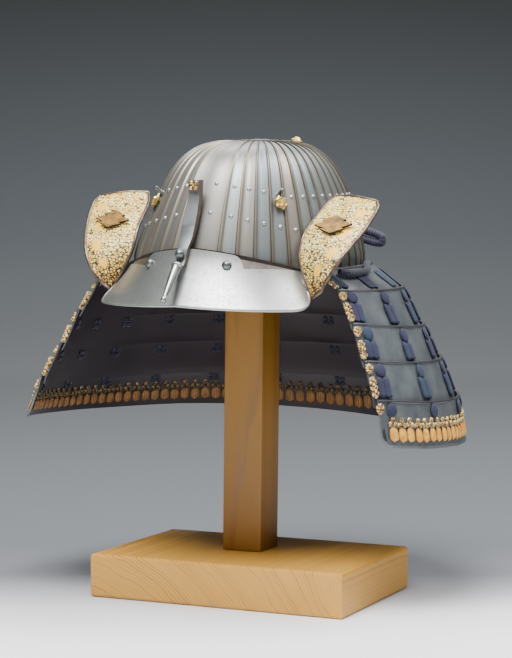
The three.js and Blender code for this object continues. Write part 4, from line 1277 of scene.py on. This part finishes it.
BOW_Y, BOW_Z, BOW_REACH, BOW_DROP, BOW_CORD = 152, 27, 90, 15, 4.4     # the last is the cord's radius


def make_bow():
    """The bow of cord at the back of the bowl: a long loop to each side and a knot in the middle."""
    y, z, reach, drop = BOW_Y, BOW_Z, BOW_REACH, BOW_DROP
    apart = BOW_CORD + 0.3
    for where, side in (("left", 1), ("right", -1)):
        bm = bmesh.new()
        loop = [(9, y, z + apart), (reach * 0.5, y - 1, z + apart - drop * 0.4),
                (reach - 7, y - 3, z + apart - drop), (reach - 1, y - 3, z - drop - 1),
                (reach - 7, y - 3, z - apart - drop), (reach * 0.5, y - 1, z - apart - drop * 0.4),
                (9, y, z - apart)]
        tube(bm, [(side * out, back, high) for out, back, high in loop], BOW_CORD, 12, 8, up=(0, 1, 0))
        piece(bm, "bow_" + where, [CORD], "silk", "bow_loop_" + where)
    bm = bmesh.new()
    for tilt in (0.5, -0.5):
        ring = [(9 * cos(a), y - 8 + 5 * sin(a), z + 7 * sin(a) + 9 * tilt * cos(a))
                for a in (2 * pi * k / 10 for k in range(10))]
        tube(bm, ring, 4.0, 10, 4, closed=True, up=(0.2, 1, 0.1))
    turned(bm, [(0, -9), (6, -8), (8, -3), (8, 3), (6, 7), (0, 8)], 14, (0, y - 6, z), (0, 1, 0))
    piece(bm, "bow_centre", [CORD], "silk", "bow_knot")


KNOT_AT, KNOT_RADIUS = (111, -66, 2), 4.6
TIE_CORD, TIE_LIFT = 3.4, 9.6
# Angle from the back and share up the top lame of the points along the tie's end.
TIE_PATH = [(113, 0.9), (108, 0.78), (100, 0.8), (93, 0.88), (86, 1.1)]


def make_tie():
    """The knot of the tie behind the wearer's left turnback, and the short end that runs back from it."""
    x, y, z = KNOT_AT
    bm = bmesh.new()
    for turn in (0, 60, 120):
        a = radians(turn)
        ring = [(x + 1.4 * sin(2 * t), y + KNOT_RADIUS * cos(t) * cos(a),
                 z + KNOT_RADIUS * sin(t) + 2.4 * cos(t) * sin(a))
                for t in (2 * pi * k / 8 for k in range(8))]
        tube(bm, ring, 2.1, 8, 4, closed=True, up=(1, 0, 0.2))
    piece(bm, "tie_knot", [CORD], "silk", "cord_knot")
    bm = bmesh.new()
    tube(bm, [lame_point(0, angle, share, TIE_LIFT) for angle, share in TIE_PATH], TIE_CORD, 12, 8)
    piece(bm, "tie_end", [CORD], "silk", "cord_strand")


make_bowl()
make_plate_rivets()
make_crown()
make_studs()
make_visor()
make_holder()
for side, where in ((1, "left"), (-1, "right")):
    make_turnback(side, where)
    make_crest(side, where)
make_lames()
make_laces()
make_edge_braids()
make_hem("hem_stitches_outer", "hem_tabs_outer", [TAB, BRAID], 12.0, 11.5, seed=3, inside=False)
# The inner row takes the copies with painted shade.
make_hem("hem_stitches_inner", "hem_tabs_inner", [BROWN_TAB, DULL_BRAID], 12.4, 11.3, seed=5, inside=True)
make_bow()
make_tie()

# ------------------------------------------------------------------ stand

POST_SIDE, POST_X, POST_Y, POST_LOW, POST_HIGH = 43.4, -6, 9, 45.2, 463
POST_TURN, POST_OFF, POST_OUT_OF_PLUMB = 25, 0.8, 4.6


def make_post():
    """The post is planed square and stands a little out of plumb."""
    height = POST_HIGH - POST_LOW
    bm = bmesh.new()
    made = bmesh.ops.create_cube(bm, size=1)["verts"]
    bmesh.ops.scale(bm, vec=(POST_SIDE, POST_SIDE, height), verts=made)
    bmesh.ops.bevel(bm, geom=bm.edges[:], offset=1.2, affect="EDGES", segments=3, profile=0.5, material=-1)
    towards = Vector((cos(radians(POST_TURN)), sin(radians(POST_TURN)), 0))
    for vert in bm.verts:
        vert.co += towards * (POST_OFF + POST_OUT_OF_PLUMB * (vert.co.z / height + 0.5))
    bmesh.ops.translate(bm, vec=(POST_X, POST_Y, (POST_HIGH + POST_LOW) / 2), verts=bm.verts)
    piece(bm, "planed_post", [POST_WOOD], "wood", "stand_post", frame_of=Matrix.Scale(MM, 4))


make_post()
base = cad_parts["stand_base"]
base.data.materials.clear()
base.data.materials.append(BASE_WOOD)

# ------------------------------------------------------------------ floor, light and camera

YAW, PITCH = 24.86, 3.21             # degrees that the camera stands aside and above
DISTANCE, AIM_HEIGHT, AIM_RIGHT = 2.0175, 0.2757, 0.0052
SENSOR, LENS = 36, 106.41
FLOOR_FRONT, FLOOR_BACK, BEND, WALL_TOP, PAPER_WIDE = -6, 2.6, 1.0, 5.0, 16

# Distance in metres along the paper, from a line under the helmet, and its colour there: painted light
# falloff, with painted shadow just behind the stand.
PAPER = [(-0.23, "#fbfbfb"), (-0.1, "#e2e2e5"), (0.0, "#a5a6aa"), (0.1, "#74757a"), (0.28, "#606468"),
         (0.6, "#62666a"), (1.1, "#64696d"), (1.9, "#686c6e"), (2.8, "#6c7072"), (3.1, "#626668"),
         (3.3, "#5d6163"), (3.45, "#555a5e"), (3.6, "#51565a"), (3.9, "#474b4e"), (4.2, "#373b3c")]


def backdrop_paper(tree, place, uv):
    """Matt seamless paper with painted light: white in front, painted darker grey behind the stand and up the
    wall as the light falls off.
    """
    metres = add(tree, "SeparateXYZ", (uv,), out="Y")
    run = add(tree, "Math", (metres, 0.1, 0.4), operation="MULTIPLY_ADD")
    return {"Base Color": add(tree, "ValToRGB", (run,), [(0.4 + 0.1 * at, tone) for at, tone in PAPER])}


def make_stage():
    """A sheet of paper that lies in front, bends up behind and faces the camera."""
    curve = [(FLOOR_FRONT * (1 - i / 24), 0.0) for i in range(24)]
    curve += [(FLOOR_BACK * i / 10, 0.0) for i in range(11)]
    curve += [(FLOOR_BACK + BEND * sin(radians(a)), BEND - BEND * cos(radians(a))) for a in range(5, 91, 5)]
    curve += [(FLOOR_BACK + BEND, 3.0), (FLOOR_BACK + BEND, WALL_TOP)]
    last = len(curve) - 1
    runs = [curve[0][0]]
    for (y0, z0), (y1, z1) in zip(curve, curve[1:]):
        runs.append(runs[-1] + hypot(y1 - y0, z1 - z0))
    turn = Matrix.Rotation(radians(YAW), 4, "Z")
    bm = bmesh.new()
    bent_grid(bm, 1, last, lambda u, v: turn @ Vector(((u - 0.5) * PAPER_WIDE, *curve[round(v * last)])),
              lambda u, v: (u, runs[round(v * last)]))
    bmesh.ops.recalc_face_normals(bm, faces=bm.faces)
    mesh = bpy.data.meshes.new("backdrop")
    bm.to_mesh(mesh)
    bm.free()
    mesh.shade_smooth()
    mesh.materials.append(material("backdrop_paper", backdrop_paper, Roughness=0.9))
    sweep = bpy.data.objects.new("backdrop", mesh)
    bpy.context.scene.collection.objects.link(sweep)


def area_light(name, at, aim_at, size, power):
    """A round soft lamp, in metres and watts."""
    lamp = bpy.data.lights.new(name, "AREA")
    lamp.shape, lamp.size, lamp.energy = "DISK", size, power
    made = bpy.data.objects.new(name, lamp)
    made.location = at
    made.rotation_euler = (Vector(aim_at) - Vector(at)).to_track_quat("-Z", "Y").to_euler()
    made.visible_camera = False
    bpy.context.scene.collection.objects.link(made)


def make_camera():
    yaw, pitch = radians(YAW), radians(PITCH)
    back = Vector((sin(yaw) * cos(pitch), -cos(yaw) * cos(pitch), sin(pitch)))
    right = Vector((cos(yaw), sin(yaw), 0))
    lens = bpy.data.cameras.new("camera")
    lens.sensor_width = SENSOR
    lens.lens = LENS
    camera = bpy.data.objects.new("camera", lens)
    rotation = Matrix((right, back.cross(right), back)).transposed().to_4x4()
    at = Vector((0, 0, AIM_HEIGHT)) + right * AIM_RIGHT + back * DISTANCE
    camera.matrix_world = Matrix.Translation(at) @ rotation
    bpy.context.scene.collection.objects.link(camera)
    bpy.context.scene.camera = camera


make_stage()
area_light("top", (0.05, -0.85, 2.3), (0, -0.1, 0.2), 1.3, 130)
area_light("rear_top", (0.9, 0.7, 2.2), (0, 0, 0.4), 1.2, 52)
area_light("right", (2.3, -0.1, 1.9), (0, 0, 0.35), 1.3, 8)
area_light("key", (0.5, -2.9, 1.2), (0, 0, 0.3), 1.4, 10)
area_light("paper", (-1.2, 2.6, 3.2), (-1.2, 2.6, 0), 2.0, 70)
world = bpy.data.worlds.new("studio")
bpy.context.scene.world = world
world.use_nodes = True
background = world.node_tree.nodes["Background"]
background.inputs["Color"].default_value = colour("#dfe3e6")
background.inputs["Strength"].default_value = 0.14
make_camera()
